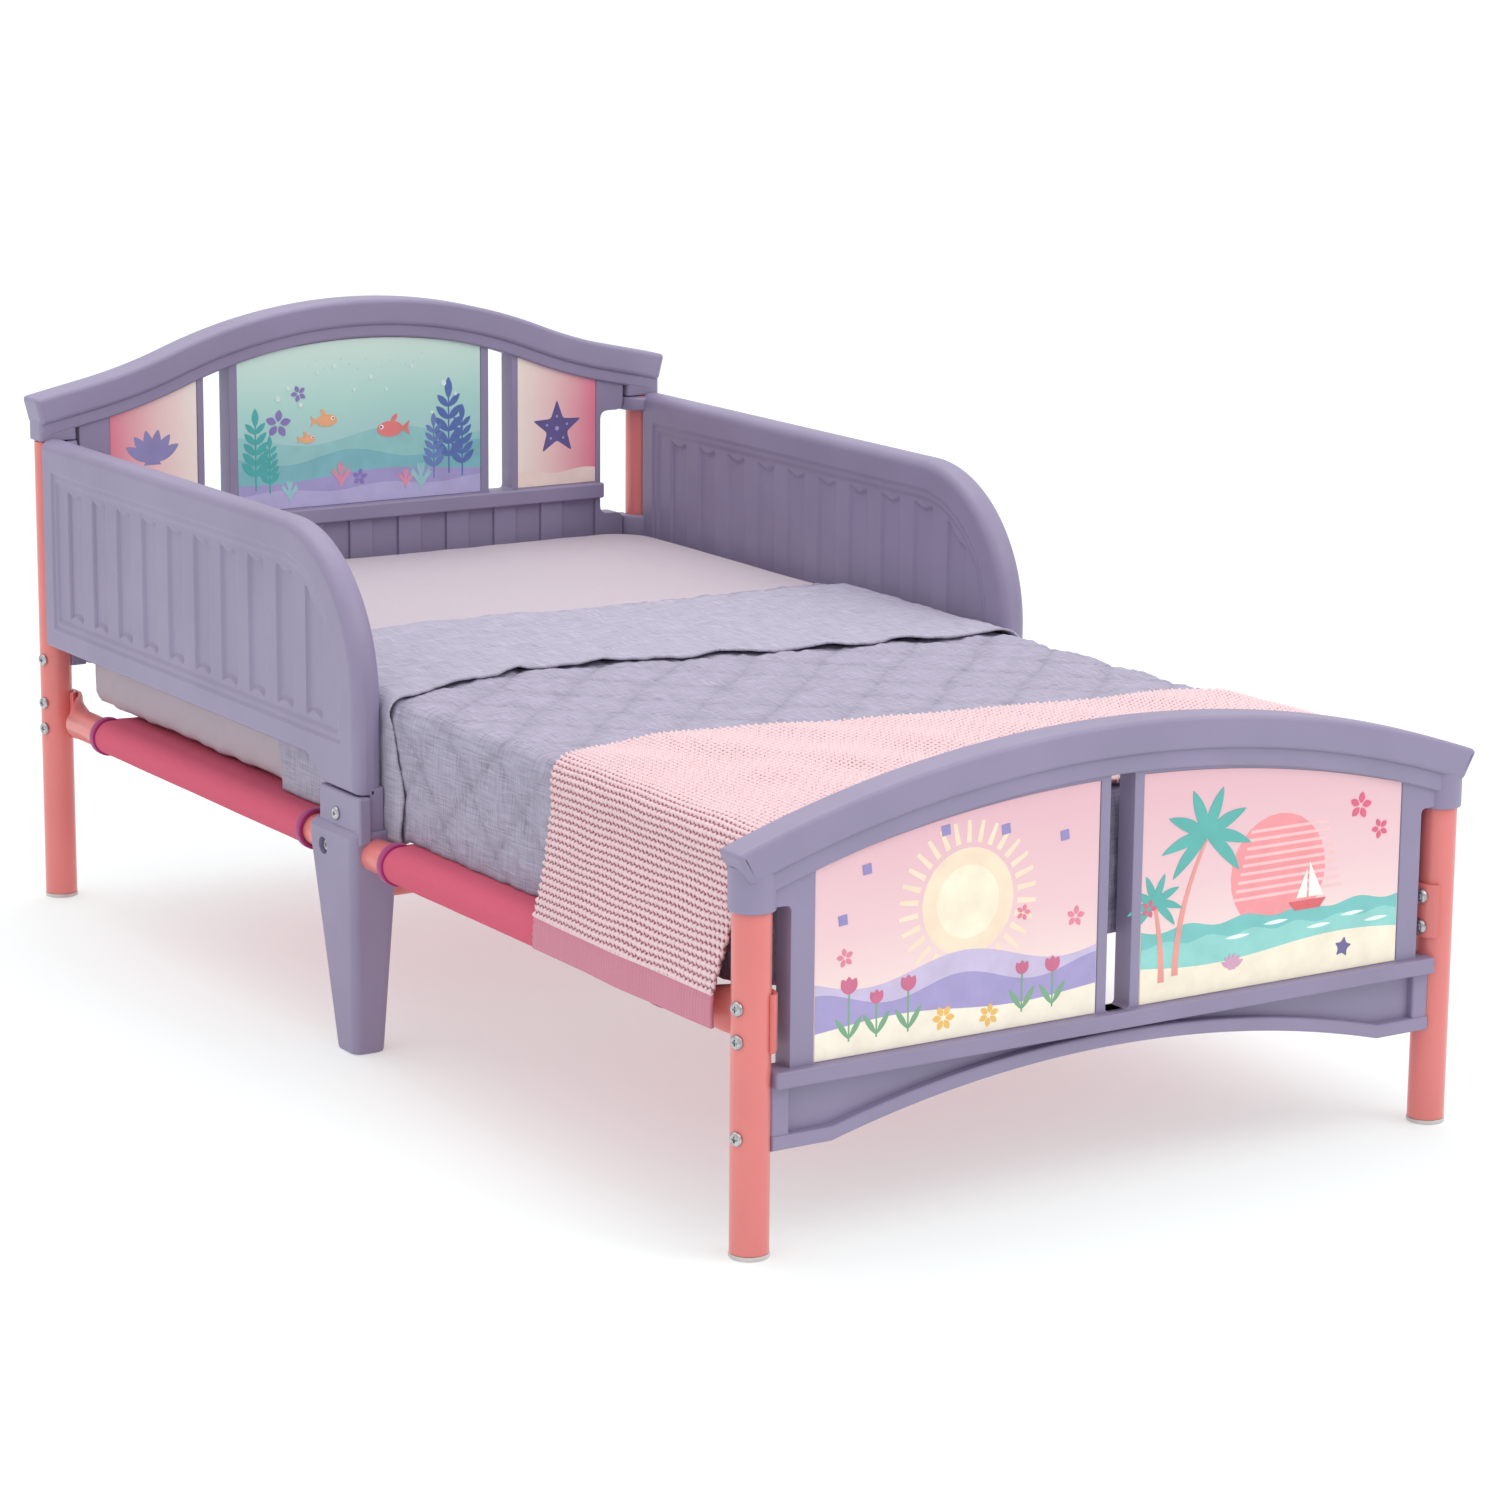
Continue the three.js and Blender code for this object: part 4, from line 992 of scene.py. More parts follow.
def guard_relief(y, z):
    """How far the guardrail's face lies below its flat frame, positive inwards."""
    rim = edge_drop(crown_distance(y, z), GUARD["rim"])
    rim = np.maximum(rim, edge_drop(z - guard_bottom(y), GUARD["low_rim"]))
    rim = np.maximum(rim, edge_drop(GUARD["head"] - y, GUARD["end_rim"]))
    inside = np.minimum(crown_distance(y, z) - GUARD["recess_inset"], z - GUARD["recess_low"])
    inside = np.minimum(inside, GUARD["recess_head"] - y)
    moulding = 1.7 * smoothstep(0, 1.4, inside) + 2.0 * smoothstep(6.5, 10.5, inside)
    across = (y - 20) / BEAD["period"]
    phase = np.abs(across - np.round(across)) * BEAD["period"]
    ends = 13 + 6 * smoothstep(BEAD["width"] / 2 - 5, BEAD["period"] / 2, phase)
    batten = smoothstep(BEAD["width"] / 2 + 1.0, BEAD["width"] / 2 - 0.6, phase)
    field = smoothstep(ends, ends + 2.2, inside)
    return rim + moulding + field * BEAD["groove"] * (1 - batten)


def spread(start, stop, fine, coarse, margin):
    """Places from start to stop, fine near both ends."""
    length = abs(stop - start)
    near = np.arange(0, margin, fine)
    middle = np.linspace(margin, length - margin, int((length - 2 * margin) / coarse) + 2)
    return start + np.concatenate([near, middle, (length - near)[::-1]])


def guard_slab():
    """The guardrail's body on the right side: two relief faces and the edge between them."""
    ys = spread(GUARD["foot"], GUARD["head"], 0.9, 1.7, 14)
    steps = spread(0, 1, 0.006, 0.009, 0.06)
    grid_y = np.repeat(ys[:, None], len(steps), 1)
    low, high = guard_bottom(grid_y), guard_top(grid_y)
    grid_z = low + (high - low) * steps[None, :]
    relief = guard_relief(grid_y, grid_z)
    outer = np.stack([GUARD["outer"] - relief, grid_y, grid_z], -1)
    inner = np.stack([GUARD["inner"] + relief, grid_y, grid_z], -1)
    rows, cols = grid_y.shape
    faces = grid_faces(rows, cols)
    count = rows * cols
    edge = ([r * cols for r in range(rows)] + [(rows - 1) * cols + c for c in range(1, cols)]
            + [r * cols + cols - 1 for r in range(rows - 2, -1, -1)] + [c for c in range(cols - 2, 0, -1)])
    back = [[i + count for i in face[::-1]] for face in faces]
    sides = [[b, a, a + count, b + count] for a, b in zip(edge, edge[1:] + edge[:1])]
    return np.concatenate([outer.reshape(-1, 3), inner.reshape(-1, 3)]), faces + back + sides


def guard_collar(zs):
    """A hook round the bed side of the head post, on the right side."""
    section = rounded_rect((POST["radius"] + SEAT_GAP, GUARD["collar"]), zs, 2.5, 3)
    return loft(post_rings(section, np.radians(np.linspace(*GUARD["collar_arc"], 33))))


def make_guardrails():
    low, tab_y = GUARD["lap_tab"]
    tab = slab([rounded_rect((GUARD["foot"], tab_y), (low, GUARD["tab_low"] + 6), 3)],
               (GUARD["inner"], GUARD["lap"]), 2, YZ)
    body = guard_slab()
    collars = [guard_collar(zs) for zs in GUARD["collars"]]
    for side, sx in SIDES:
        part = at_side(merge(body, tab, *collars), sx)
        fixed(f"guardrail_{side}_moulding", part, LAVENDER, 50, f"guardrail_{side}")


def leg_section(z):
    """The leg's box at a height, between its given sections."""
    rings = LEG["rings"]
    heights = [ring[0] for ring in rings]
    values = [[*xs, *ys] for _, xs, ys in rings]
    return [np.interp(z, heights, column) for column in zip(*values)]


def leg_body():
    heights = [0, 0.8, 3, 40, 80, 120, 160, 180, 188, 190, 193, 198, 203, 206, 208, 210, 211.4, 212]
    rings = []
    for z in heights:
        x0, x1, y0, y1 = leg_section(z)
        tuck = edge_drop(z, 2.0) + edge_drop(212 - z, 1.6)
        ring = rounded_rect((x0 + tuck, x1 - tuck), (y0 + tuck, y1 - tuck), LEG["corner"], 6)
        rings.append([(x, y, z) for x, y in ring])
    return loft(rings)


def make_legs():
    lying = Matrix.Rotation(math.pi / 2, 4, "Y")
    hole = placed(lathe([(LEG["recess"], 0), (LEG["recess"], 40)], 40),
                  Matrix.Translation((LEG["seat"], *LEG["bolt"])) @ lying)
    for side, sx in SIDES:
        leg = add_object(f"centre_leg_{side}_moulding", at_side(leg_body(), sx), LAVENDER, 40)
        cutter = add_object(f"cutter_{side}", at_side(hole, sx), LAVENDER)
        boolean = leg.modifiers.new("bolt_recess", "BOOLEAN")
        boolean.object = cutter
        boolean.operation = "DIFFERENCE"
        boolean.solver = "EXACT"
        plain_mesh(leg)
        bpy.data.objects.remove(cutter)
        bevel = leg.modifiers.new("soft_edges", "BEVEL")
        bevel.width = 0.9 * MM
        bevel.segments = 2
        bevel.limit_method = "ANGLE"
        bevel.angle_limit = math.radians(50)
        plain_mesh(leg)
        leg.data.set_sharp_from_angle(angle=math.radians(40))
        leg.modifiers.new("normals", "WEIGHTED_NORMAL").keep_sharp = True
        finished(leg, "bed_frame", "lavender_plastic", f"centre_leg_{side}")
        tongue = slab([rounded_rect(LEG["tongue_y"], LEG["tongue_z"], 3)], LEG["tongue_x"], 2.5, YZ)
        fixed(f"centre_leg_{side}_tongue", at_side(tongue, sx), LAVENDER, 35, weighted=True)


make_guardrails()
make_legs()


# ---- fabric deck ----------------------------------------------------------------

def give_attribute(obj, name, values):
    """Stores one vector or number for each point of the mesh."""
    values = np.asarray(values, float)
    kind, key = ("FLOAT_VECTOR", "vector") if values.ndim == 2 else ("FLOAT", "value")
    attribute = obj.data.attributes.new(name, kind, "POINT")
    attribute.data.foreach_set(key, values.astype(np.float32).ravel())


def cloth_object(name, points, faces, flat, made, thickness, extra=None, offset=-1):
    """A sheet of cloth from a single layer of points, its flat places in millimetres."""
    obj = add_object(name, (points, faces), made)
    give_attribute(obj, "flat", np.column_stack([np.asarray(flat) * MM, np.zeros(len(points))]))
    for key, values in (extra or {}).items():
        give_attribute(obj, key, values)
    solidify = obj.modifiers.new("thickness", "SOLIDIFY")
    solidify.thickness = thickness * MM
    solidify.offset = offset
    return plain_mesh(obj)


def resample(path, step):
    """Points along a polyline at an even step, and their distances along it."""
    path = np.asarray(path, float)
    lengths = np.concatenate([[0], np.cumsum(np.linalg.norm(np.diff(path, axis=0), axis=1))])
    places = np.linspace(0, lengths[-1], int(lengths[-1] / step) + 2)
    return np.stack([np.interp(places, lengths, path[:, k]) for k in range(path.shape[1])], 1), places


def deck_profile():
    """Across the deck: round the left rail, over the web, and round the right rail."""
    radius, x, z = DECK["outer"], POST["x"], RAIL["z"]
    turns = np.radians(np.linspace(280, 90, 50))
    left = [(-x + radius * math.cos(t), z + radius * math.sin(t)) for t in turns]
    right = [(-px, pz) for px, pz in left[::-1]]
    return left + right


def make_decks():
    for end, sy in (("head", 1), ("foot", -1)):
        profile, across = resample(deck_profile(), 3.0)
        ys = np.arange(DECK["near"], DECK["far"] + 1, 4.0)
        grid = np.array([[(x, sy * y, z) for x, z in profile] for y in ys])
        on_rail = smoothstep(POST["x"] - 30, POST["x"] - 12, np.abs(grid[..., 0]))
        pucker = ripple(grid[..., 1], grid[..., 2] * 2, 46, 11)
        grid[..., 0] += 0.25 * pucker * on_rail * np.sign(grid[..., 0])
        grid[..., 2] -= (1 - on_rail) * (0.6 + 0.3 * ripple(grid[..., 0], grid[..., 1], 120, 12))
        flat = np.array([[(u, sy * y) for u in across] for y in ys]).reshape(-1, 2)
        rows, cols = grid.shape[:2]
        faces = [face[::sy] for face in grid_faces(rows, cols)]
        obj = cloth_object(f"deck_panel_{end}", grid.reshape(-1, 3), faces, flat, SLEEVE, DECK["thick"])
        finished(obj, "bed_frame", "deck_fabric", f"deck_{end}")
        bands = []
        for edge in (DECK["near"], DECK["far"]):
            inner, outer = edge - DECK["binding"] / 2, edge + DECK["binding"] / 2
            section = rounded_rect((DECK["outer"] - 1.4, DECK["outer"] + 2.4), (inner, outer), 1.2, 3)
            for sx in (-1, 1):
                turns = np.linspace(0, 2 * np.pi, 49)[:-1]
                rings = [[(sx * POST["x"] + r * math.cos(t), sy * y, RAIL["z"] + r * math.sin(t))
                          for r, y in section] for t in turns]
                bands.append(closed_loop(rings))
        tape_obj = add_object(f"deck_binding_{end}", merge(*bands), BINDING, 40)
        finished(tape_obj, "bed_frame", "deck_fabric")


def closed_loop(rings):
    """A skin through rings that come back to the first one."""
    rings = np.asarray(rings, float)
    rows, cols = rings.shape[:2]
    faces = grid_faces(rows + 1, cols, wrap=True)
    return rings.reshape(-1, 3), [[i % (rows * cols) for i in face] for face in faces]


make_decks()


# ---- bedding --------------------------------------------------------------------

def pad_distance(x, y, half, foot, head, corner):
    """Distance in from a rectangle with rounded corners."""
    middle, half_y = (foot + head) / 2, (head - foot) / 2
    dx, dy = np.abs(x) - (half - corner), np.abs(y - middle) - (half_y - corner)
    outside = np.hypot(np.maximum(dx, 0), np.maximum(dy, 0))
    signed = outside + np.minimum(np.maximum(dx, dy), 0) - corner
    return -signed


def bed_cover(half, foot, head, corner, top, rim, low, step, round_head, under=0):
    """A cover's top and its hanging sides: points, faces, flat places and depths down the side."""
    ys = np.linspace(head, foot, int((head - foot) / step) + 1)
    far_head = head if round_head else head + 4 * corner
    tuck = np.maximum(foot + corner - ys, 0)
    if round_head:
        tuck = np.maximum(tuck, ys - (head - corner))
    widths = half - corner + np.sqrt(np.maximum(corner ** 2 - tuck ** 2, 0))
    cols = int(2 * half / step) + 1
    grid_x = widths[:, None] * np.linspace(-1, 1, cols)[None, :]
    grid_y = np.repeat(ys[:, None], cols, 1)
    inside = np.maximum(pad_distance(grid_x, grid_y, half, foot, far_head, corner), 0)
    grid_z = top - edge_drop(inside, rim)
    rows = len(ys)
    points = np.stack([grid_x, grid_y, grid_z], -1).reshape(-1, 3)
    faces = [face[::-1] for face in grid_faces(rows, cols)]
    loop = [r * cols for r in range(rows)] + [(rows - 1) * cols + c for c in range(1, cols)]
    loop += [r * cols + cols - 1 for r in range(rows - 2, -1, -1)]
    if round_head:
        loop += list(range(cols - 2, 0, -1))
    rim_points = points[loop]
    tangent = np.roll(rim_points, -1, 0) - np.roll(rim_points, 1, 0)
    if not round_head:
        tangent[0], tangent[-1] = rim_points[1] - rim_points[0], rim_points[-1] - rim_points[-2]
    outward = np.stack([tangent[:, 1], -tangent[:, 0]], 1)
    outward /= np.linalg.norm(outward, axis=1)[:, None]
    outward = -outward if outward[0, 0] > 0 else outward
    depths = np.linspace(0, top - rim - low, int((top - rim - low) / step) + 2)[1:]
    flats = [points[:, :2].copy()]
    rims = [points]
    depth_list = [np.zeros(len(points))]
    previous = list(loop)
    total = len(points)
    count = len(loop)
    for depth in depths:
        ring = rim_points.copy()
        ring[:, 2] -= depth
        if under:
            ring[:, :2] -= outward * edge_drop(top - rim - depth - low, under)
        rims.append(ring)
        flats.append(rim_points[:, :2] + outward * depth)
        depth_list.append(np.full(count, depth))
        current = list(range(total, total + count))
        pairs = range(count if round_head else count - 1)
        for i in pairs:
            j = (i + 1) % count
            faces.append([previous[i], current[i], current[j], previous[j]])
        previous = current
        total += count
    return np.concatenate(rims), faces, np.concatenate(flats), np.concatenate(depth_list)


def face_normals_at_points(points, faces):
    """Unit normals at each point of a quad mesh."""
    quads = np.array(faces)
    a, b, c, d = (points[quads[:, k]] for k in range(4))
    normal = np.cross(c - a, d - b)
    total = np.zeros_like(points)
    for k in range(4):
        np.add.at(total, quads[:, k], normal)
    return total / np.maximum(np.linalg.norm(total, axis=1), 1e-9)[:, None]


def pushed(points, faces, amount):
    """Points moved along their normals, which point away from the bed's middle."""
    normals = face_normals_at_points(points, faces)
    middle = points.mean(0) - (0, 0, 60)
    if np.mean(np.einsum("ij,ij->i", normals, points - middle)) < 0:
        normals = -normals
    return points + normals * np.asarray(amount)[:, None]


def make_mattress():
    points, faces, flat, depth = bed_cover(PAD["half"], PAD["foot"], PAD["head"], PAD["corner"], PAD["top"],
                                           9, PAD["low"], 9, True, under=PAD["under"])
    hanging = depth > 0
    bottom = points[~hanging].copy()
    middle = np.array([0, (PAD["foot"] + PAD["head"]) / 2])
    shrink = 1 - PAD["under"] / np.array([PAD["half"], (PAD["head"] - PAD["foot"]) / 2])
    bottom[:, :2] = middle + (bottom[:, :2] - middle) * shrink
    bottom[:, 2] = PAD["low"]
    waist = np.where(hanging, np.sin(np.clip(depth / (PAD["top"] - PAD["low"]), 0, 1) * np.pi), 0)
    points = pushed(points, faces, 0.4 * ripple(flat[:, 0], flat[:, 1], 90, 5) - 1.2 * waist - 0.8)
    count, top_count = len(points), len(bottom)
    base_faces = [[i + count for i in face[::-1]] for face in faces if max(face) < top_count]
    obj = add_object("mattress_pad", (np.concatenate([points, bottom]), faces + base_faces), COVER)
    give_attribute(obj, "flat", np.concatenate([np.column_stack([flat * MM, np.zeros(count)]), bottom * MM]))
    merge_doubles(obj, 2.5)
    finished(obj, "bedding", "mattress_cover", "mattress")


def merge_doubles(obj, distance):
    """Welds points that lie closer than a distance."""
    weld = obj.modifiers.new("weld", "WELD")
    weld.merge_threshold = distance * MM
    return plain_mesh(obj)


def make_fitted_sheet():
    grow = SHEET["grow"]
    points, faces, flat, depth = bed_cover(PAD["half"] + grow, PAD["foot"] - grow, PAD["head"] + grow,
                                           PAD["corner"] + grow, SHEET["top"], SHEET["rim"],
                                           SHEET["low"], 5, True, under=PAD["under"] + 1)
    x, y = flat[:, 0], flat[:, 1]
    wander = 0.45 * ripple(x, y, 210, 21) + 0.2 * ripple(x, y * 0.4, 55, 22)
    side = smoothstep(0, 25, depth)
    gather = side * smoothstep(30, 110, depth) * 0.7 * np.sin((x + y) / 6.5 + 1.4 * ripple(x, y, 90, 23))
    corner_pull = 0.7 * side * ripple(x * 1.5, y * 1.5, 70, 24)
    points = pushed(points, faces, wander + gather + corner_pull)
    points[:, 2] = np.minimum(points[:, 2], SHEET["top"] + 1.2)
    obj = cloth_object("fitted_sheet_cotton", points, faces, flat, SHEET_COTTON, SHEET["thick"], offset=1)
    finished(obj, "bedding", "sheet_cotton", "fitted_sheet")


def quilted(flat, cell):
    """The puff of a diamond-quilted cloth, and how near each place is to a stitch line."""
    a = np.pi * (flat[:, 0] + flat[:, 1]) / cell
    b = np.pi * (flat[:, 0] - flat[:, 1]) / cell
    return (np.abs(np.sin(a)) * np.abs(np.sin(b))) ** 0.3


def sagged(points, share):
    """Hanging cloth let down between the two deck panels, by a share for each point."""
    between = 1 - smoothstep(DECK["near"] - 18, DECK["near"] - 3, np.abs(points[:, 1]))
    return points - np.stack([between * 0, between * 0, QUILT["sag"] * between * share], 1)


def make_quilt():
    points, faces, flat, depth = bed_cover(QUILT["half"], QUILT["foot"], QUILT["head"], PAD["corner"],
                                           QUILT["top"], QUILT["rim"], QUILT["low"], 3.6, False)
    x, y = flat[:, 0], flat[:, 1]
    puff = quilted(flat + 3 * np.stack([ripple(x, y, 150, 31), ripple(x, y, 150, 32)], 1), QUILT["cell"])
    folds = 1 - np.abs(ripple(x, y, 36, 33))
    crinkle = 1.0 * folds * puff + 0.5 * ripple(x, y, 14, 34)
    side = smoothstep(0, 30, depth)
    sway = side * (1.2 * ripple(x * 0.5, y, 150, 35))
    points = pushed(points, faces, QUILT["puff"] * puff + crinkle + sway - 2.2)
    points = sagged(points, smoothstep(60, 105, depth))
    points[:, 1] -= QUILT["pull"] * smoothstep(0, 70, depth) * smoothstep(60, QUILT["head"], y)
    # The puff attribute also sets the painted shade along the stitch lines in the quilt's material.
    obj = cloth_object("quilt_linen_cover", points, faces, flat, QUILT_LINEN, QUILT["thick"], {"puff": puff})
    finished(obj, "bedding", "quilt_linen", "quilt")


CUFF_FOOT = ((-420, -70), (-304, -36), (-169, 14), (5, -17), (152, -46), (311, -65), (420, -80))
CUFF_HEAD = ((-450, 168), (-390, 180), (-330, 222), (-186, 245), (-80, 249), (25, 232), (142, 228),
             (310, 222), (420, 220))
THROW_HEAD = ((-470, -353), (-400, -352), (-330, -330), (-261, -303), (-168, -297), (-84, -321), (9, -338),
              (104, -354), (203, -367), (302, -369), (368, -428), (470, -440))


def eased(table, value):
    """A smooth curve through a table of (place, value) pairs."""
    xs, ys = zip(*table)
    near = [np.interp(value + shift, xs, ys) for shift in np.linspace(-36, 36, 13)]
    return np.mean(near, 0)


def laid_over(profile, v):
    """A grid of points: places along the bed, v, across a line of (x, z) points over it."""
    x, z = (np.repeat(profile[None, :, k], len(v), 0) for k in range(2))
    return np.stack([x, v, z], -1)


def over_profile(half, top, rim, low):
    """The line over the bed from one side's low edge to the other's."""
    turns = np.radians(np.linspace(0, 90, 10))
    right = [(half, low)] + [(half - rim + rim * math.cos(t), top - rim + rim * math.sin(t)) for t in turns]
    return [(-x, z) for x, z in right] + [(x, z) for x, z in right[::-1]]


def make_cuff():
    """The quilt's turned-back head end, with a free edge that lifts in waves."""
    half, top = QUILT["half"] + CUFF["rise"] * 0.6, QUILT["top"] + CUFF["rise"]
    profile, across = resample(over_profile(half, top, CUFF["rim"], CUFF["low"]), 3.4)
    across = across - across[-1] / 2
    steps = np.linspace(0, 1, 84) ** 0.9
    foot, head = eased(CUFF_FOOT, across), eased(CUFF_HEAD, across)
    foot = foot + 3.2 * np.sin(across / CUFF["wave"]) + 2.0 * ripple(across, across * 0, 60, 41)
    u = np.repeat(across[None, :], len(steps), 0)
    v = foot[None, :] + (head - foot)[None, :] * steps[:, None]
    from_edge, to_fold = v - foot[None, :], head[None, :] - v
    grid = laid_over(profile, v)
    flat_zone = smoothstep(half + 30, half - 40, np.abs(u))
    waves = 0.5 + 0.5 * np.sin(across / CUFF["wave"] + 1.2 * ripple(across, across * 0, 120, 42))
    lift = CUFF["lift"] * waves[None, :] ** 2 * (0.25 + 0.75 * flat_zone) - CUFF["settle"]
    lift = lift * np.exp(-from_edge / CUFF["curl"])
    roll = edge_drop(to_fold, 6.0)
    wrinkle = 0.7 * ripple(u, v, 60, 43) + 0.35 * ripple(u, v * 2, 24, 44) + 0.2 * ripple(u, v, 11, 45)
    points = grid.reshape(-1, 3)
    rows, cols = grid.shape[:2]
    faces = grid_faces(rows, cols)
    points = pushed(points, faces, (lift - roll + wrinkle).ravel() + 0.8)
    points = sagged(points, smoothstep(265, 220, points[:, 2]))
    flat = np.stack([u, v], -1).reshape(-1, 2)
    obj = cloth_object("quilt_turned_back_cuff", points, faces, flat, CUFF_LINEN, CUFF["thick"], offset=0)
    finished(obj, "bedding", "quilt_linen")


def throw_profile():
    """The line over the quilt, down its side, over the rail and down outside it."""
    half, top, rim = QUILT["half"] + 5.5, QUILT["top"] + 4.2, 17
    turns = np.radians(np.linspace(0, 90, 8))
    outside = POST["x"] + RAIL["radius"] + 6
    right = [(outside, 178), (outside, 190)]
    right += [(outside - 0.4, 204), (outside - 6, 226), (outside - 16, 258), (half + 2, 296)]
    right += [(half - rim + rim * math.cos(t), top - rim + rim * math.sin(t)) for t in turns]
    return [(-x, z) for x, z in right] + [(x, z) for x, z in right[::-1]]


def make_throw():
    profile, across = resample(throw_profile(), 1.22)
    window = np.ones(17) / 17
    padded = np.pad(profile, ((8, 8), (0, 0)), mode="edge")
    profile = np.stack([np.convolve(padded[:, k], window, "valid") for k in range(2)], 1)
    across = across - across[-1] / 2
    head = eased(THROW_HEAD, across) + 1.2 * np.sin(across * 2 * np.pi / THROW["pitch"])
    steps = np.linspace(0, 1, 150)
    u = np.repeat(across[None, :], len(steps), 0)
    v = THROW["foot"] + (head - THROW["foot"])[None, :] * steps[:, None]
    grid = laid_over(profile, v)
    in_hem = (np.abs(u) > across[-1] - THROW["hem"]).astype(float)
    phase = 0.5 + 0.5 * np.cos(2 * np.pi * (u + 0.5 * ripple(u, v, 70, 51)) / THROW["pitch"])
    ridge = np.where(in_hem > 0, 0.75 + 0.25 * np.cos(2 * np.pi * v / 3.4), phase)
    loops = 0.5 * np.sin(2 * np.pi * v / THROW["loop"] + np.pi * np.round(u / THROW["pitch"]))
    drape = 1.6 * ripple(u, v * 0.6, 170, 52) * smoothstep(0, 60, np.abs(u) - 300)
    drape = drape + 0.7 * ripple(u, v, 90, 53)
    amount = THROW["ridge"] * np.where(in_hem > 0, 0.1 * ridge, ridge + loops * phase) + drape
    points = grid.reshape(-1, 3)
    rows, cols = grid.shape[:2]
    faces = grid_faces(rows, cols)
    points = pushed(points, faces, amount.ravel())
    flat = np.stack([u, v], -1).reshape(-1, 2)
    # The ridge attribute places the knit's painted shade between ridges and loops.
    obj = cloth_object("throw_knitted", points, faces, flat, THROW_YARN, THROW["thick"],
                       {"ridge": np.clip(ridge + np.where(in_hem > 0, 0, 0.9 * loops), 0, 1).ravel()})
    obj.data.materials.append(HEM_YARN)
    obj.data.polygons.foreach_set("material_index", hem_faces(obj, across))
    finished(obj, "bedding", "throw_knit", "throw")


def hem_faces(obj, across):
    """The material of each face: one for those in the hem, by their flat place."""
    flat = np.empty(len(obj.data.vertices) * 3, np.float32)
    obj.data.attributes["flat"].data.foreach_get("vector", flat)
    u = np.abs(flat.reshape(-1, 3)[:, 0]) / MM
    limit = across[-1] - THROW["hem"]
    return np.array([int(min(u[i] for i in face.vertices) > limit) for face in obj.data.polygons], np.int32)


make_mattress()
make_fitted_sheet()
make_quilt()
make_cuff()
make_throw()


# ---- printed panels -------------------------------------------------------------

def plate(outline, front, thickness=0.9):
    return slab([outline], (front, front + thickness), 0.15, segments=1)


def inlay(outline, front, rise):
    """A thin printed shape lying on a panel's face, a little way in front of it."""
    points = np.array(outline, float)
    area = np.sum(points[:, 0] * np.roll(points[:, 1], -1) - np.roll(points[:, 0], -1) * points[:, 1])
    if area < 0:
        points = points[::-1]
    count = len(points)
    near = np.column_stack([points[:, 0], np.full(count, front - rise), points[:, 1]])
    far = near + (0, rise + 0.1, 0)
    faces = [list(range(count)), list(range(2 * count - 1, count - 1, -1))]
    faces += [[(i + 1) % count, i, i + count, (i + 1) % count + count] for i in range(count)]
    return np.concatenate([near, far]), faces


def disc(cx, cz, rx, rz=None, turn=0, steps=28):
    rz = rz or rx
    cos, sin = math.cos(math.radians(turn)), math.sin(math.radians(turn))
    angles = [2 * math.pi * i / steps for i in range(steps)]
    ring = [(rx * math.cos(a), rz * math.sin(a)) for a in angles]
    return [(cx + u * cos - v * sin, cz + u * sin + v * cos) for u, v in ring]


def leaf(cx, cz, length, width, turn, bend=0.0, steps=14):
    """A pointed leaf growing from a point."""
    cos, sin = math.cos(math.radians(turn)), math.sin(math.radians(turn))
    upper = []
    lower = []
    for i in range(steps + 1):
        t = i / steps
        middle = bend * t * t * length
        half = width / 2 * math.sin(math.pi * t) ** 0.8
        upper.append((t * length, middle + half))
        lower.append((t * length, middle - half))
    points = upper + lower[-2:0:-1]
    return [(cx + u * cos - v * sin, cz + u * sin + v * cos) for u, v in points]


def star(cx, cz, outer, inner, points=5, turn=90):
    ring = []
    for i in range(2 * points):
        angle = math.radians(turn + 180 * i / points)
        reach = outer if i % 2 == 0 else inner
        ring.append((cx + reach * math.cos(angle), cz + reach * math.sin(angle)))
    return with_round_corners(ring, 3, 3)


def flower(cx, cz, size, petals=5, turn=0):
    """Separate petals round a middle."""
    return [leaf(cx + 0.18 * size * math.cos(math.radians(a)), cz + 0.18 * size * math.sin(math.radians(a)),
                 0.8 * size, 0.5 * size, a) for a in (turn + 360 * i / petals for i in range(petals))]


def flowers(*places, petals=5):
    """Flowers at places, each with its size and turn."""
    return [part for cx, cz, size, turn in places for part in flower(cx, cz, size, petals, turn)]


def ground(x0, x1, floor, height, swell, length, phase, steps=40):
    """A strip with a wavy top edge."""
    places = [x0 + (x1 - x0) * i / steps for i in range(steps + 1)]
    return [(x1, floor), (x0, floor)] + [(x, height + swell * math.sin(2 * math.pi * (x / length) + phase))
                                         for x in places]


def scallop_shell(cx, cz, size):
    ribs = [leaf(cx, cz, size, size * 0.34, angle) for angle in range(30, 151, 24)]
    base = [(cx - 0.28 * size, cz - 0.08 * size), (cx + 0.28 * size, cz - 0.08 * size),
            (cx + 0.16 * size, cz + 0.16 * size), (cx - 0.16 * size, cz + 0.16 * size)]
    return ribs + [base]


def kelp(cx, cz, height, leaves=5):
    stem = [(cx - 0.8, cz), (cx + 0.8, cz), (cx + 0.8, cz + height), (cx - 0.8, cz + height)]
    pairs = []
    for i in range(leaves):
        at = cz + height * (0.2 + 0.75 * i / leaves)
        size = height * 0.3 * (1 - 0.35 * i / leaves)
        pairs += [leaf(cx, at, size, size * 0.38, 45), leaf(cx, at, size, size * 0.38, 135)]
    return [stem] + pairs + [leaf(cx, cz + height * 0.9, height * 0.26, height * 0.1, 90)]


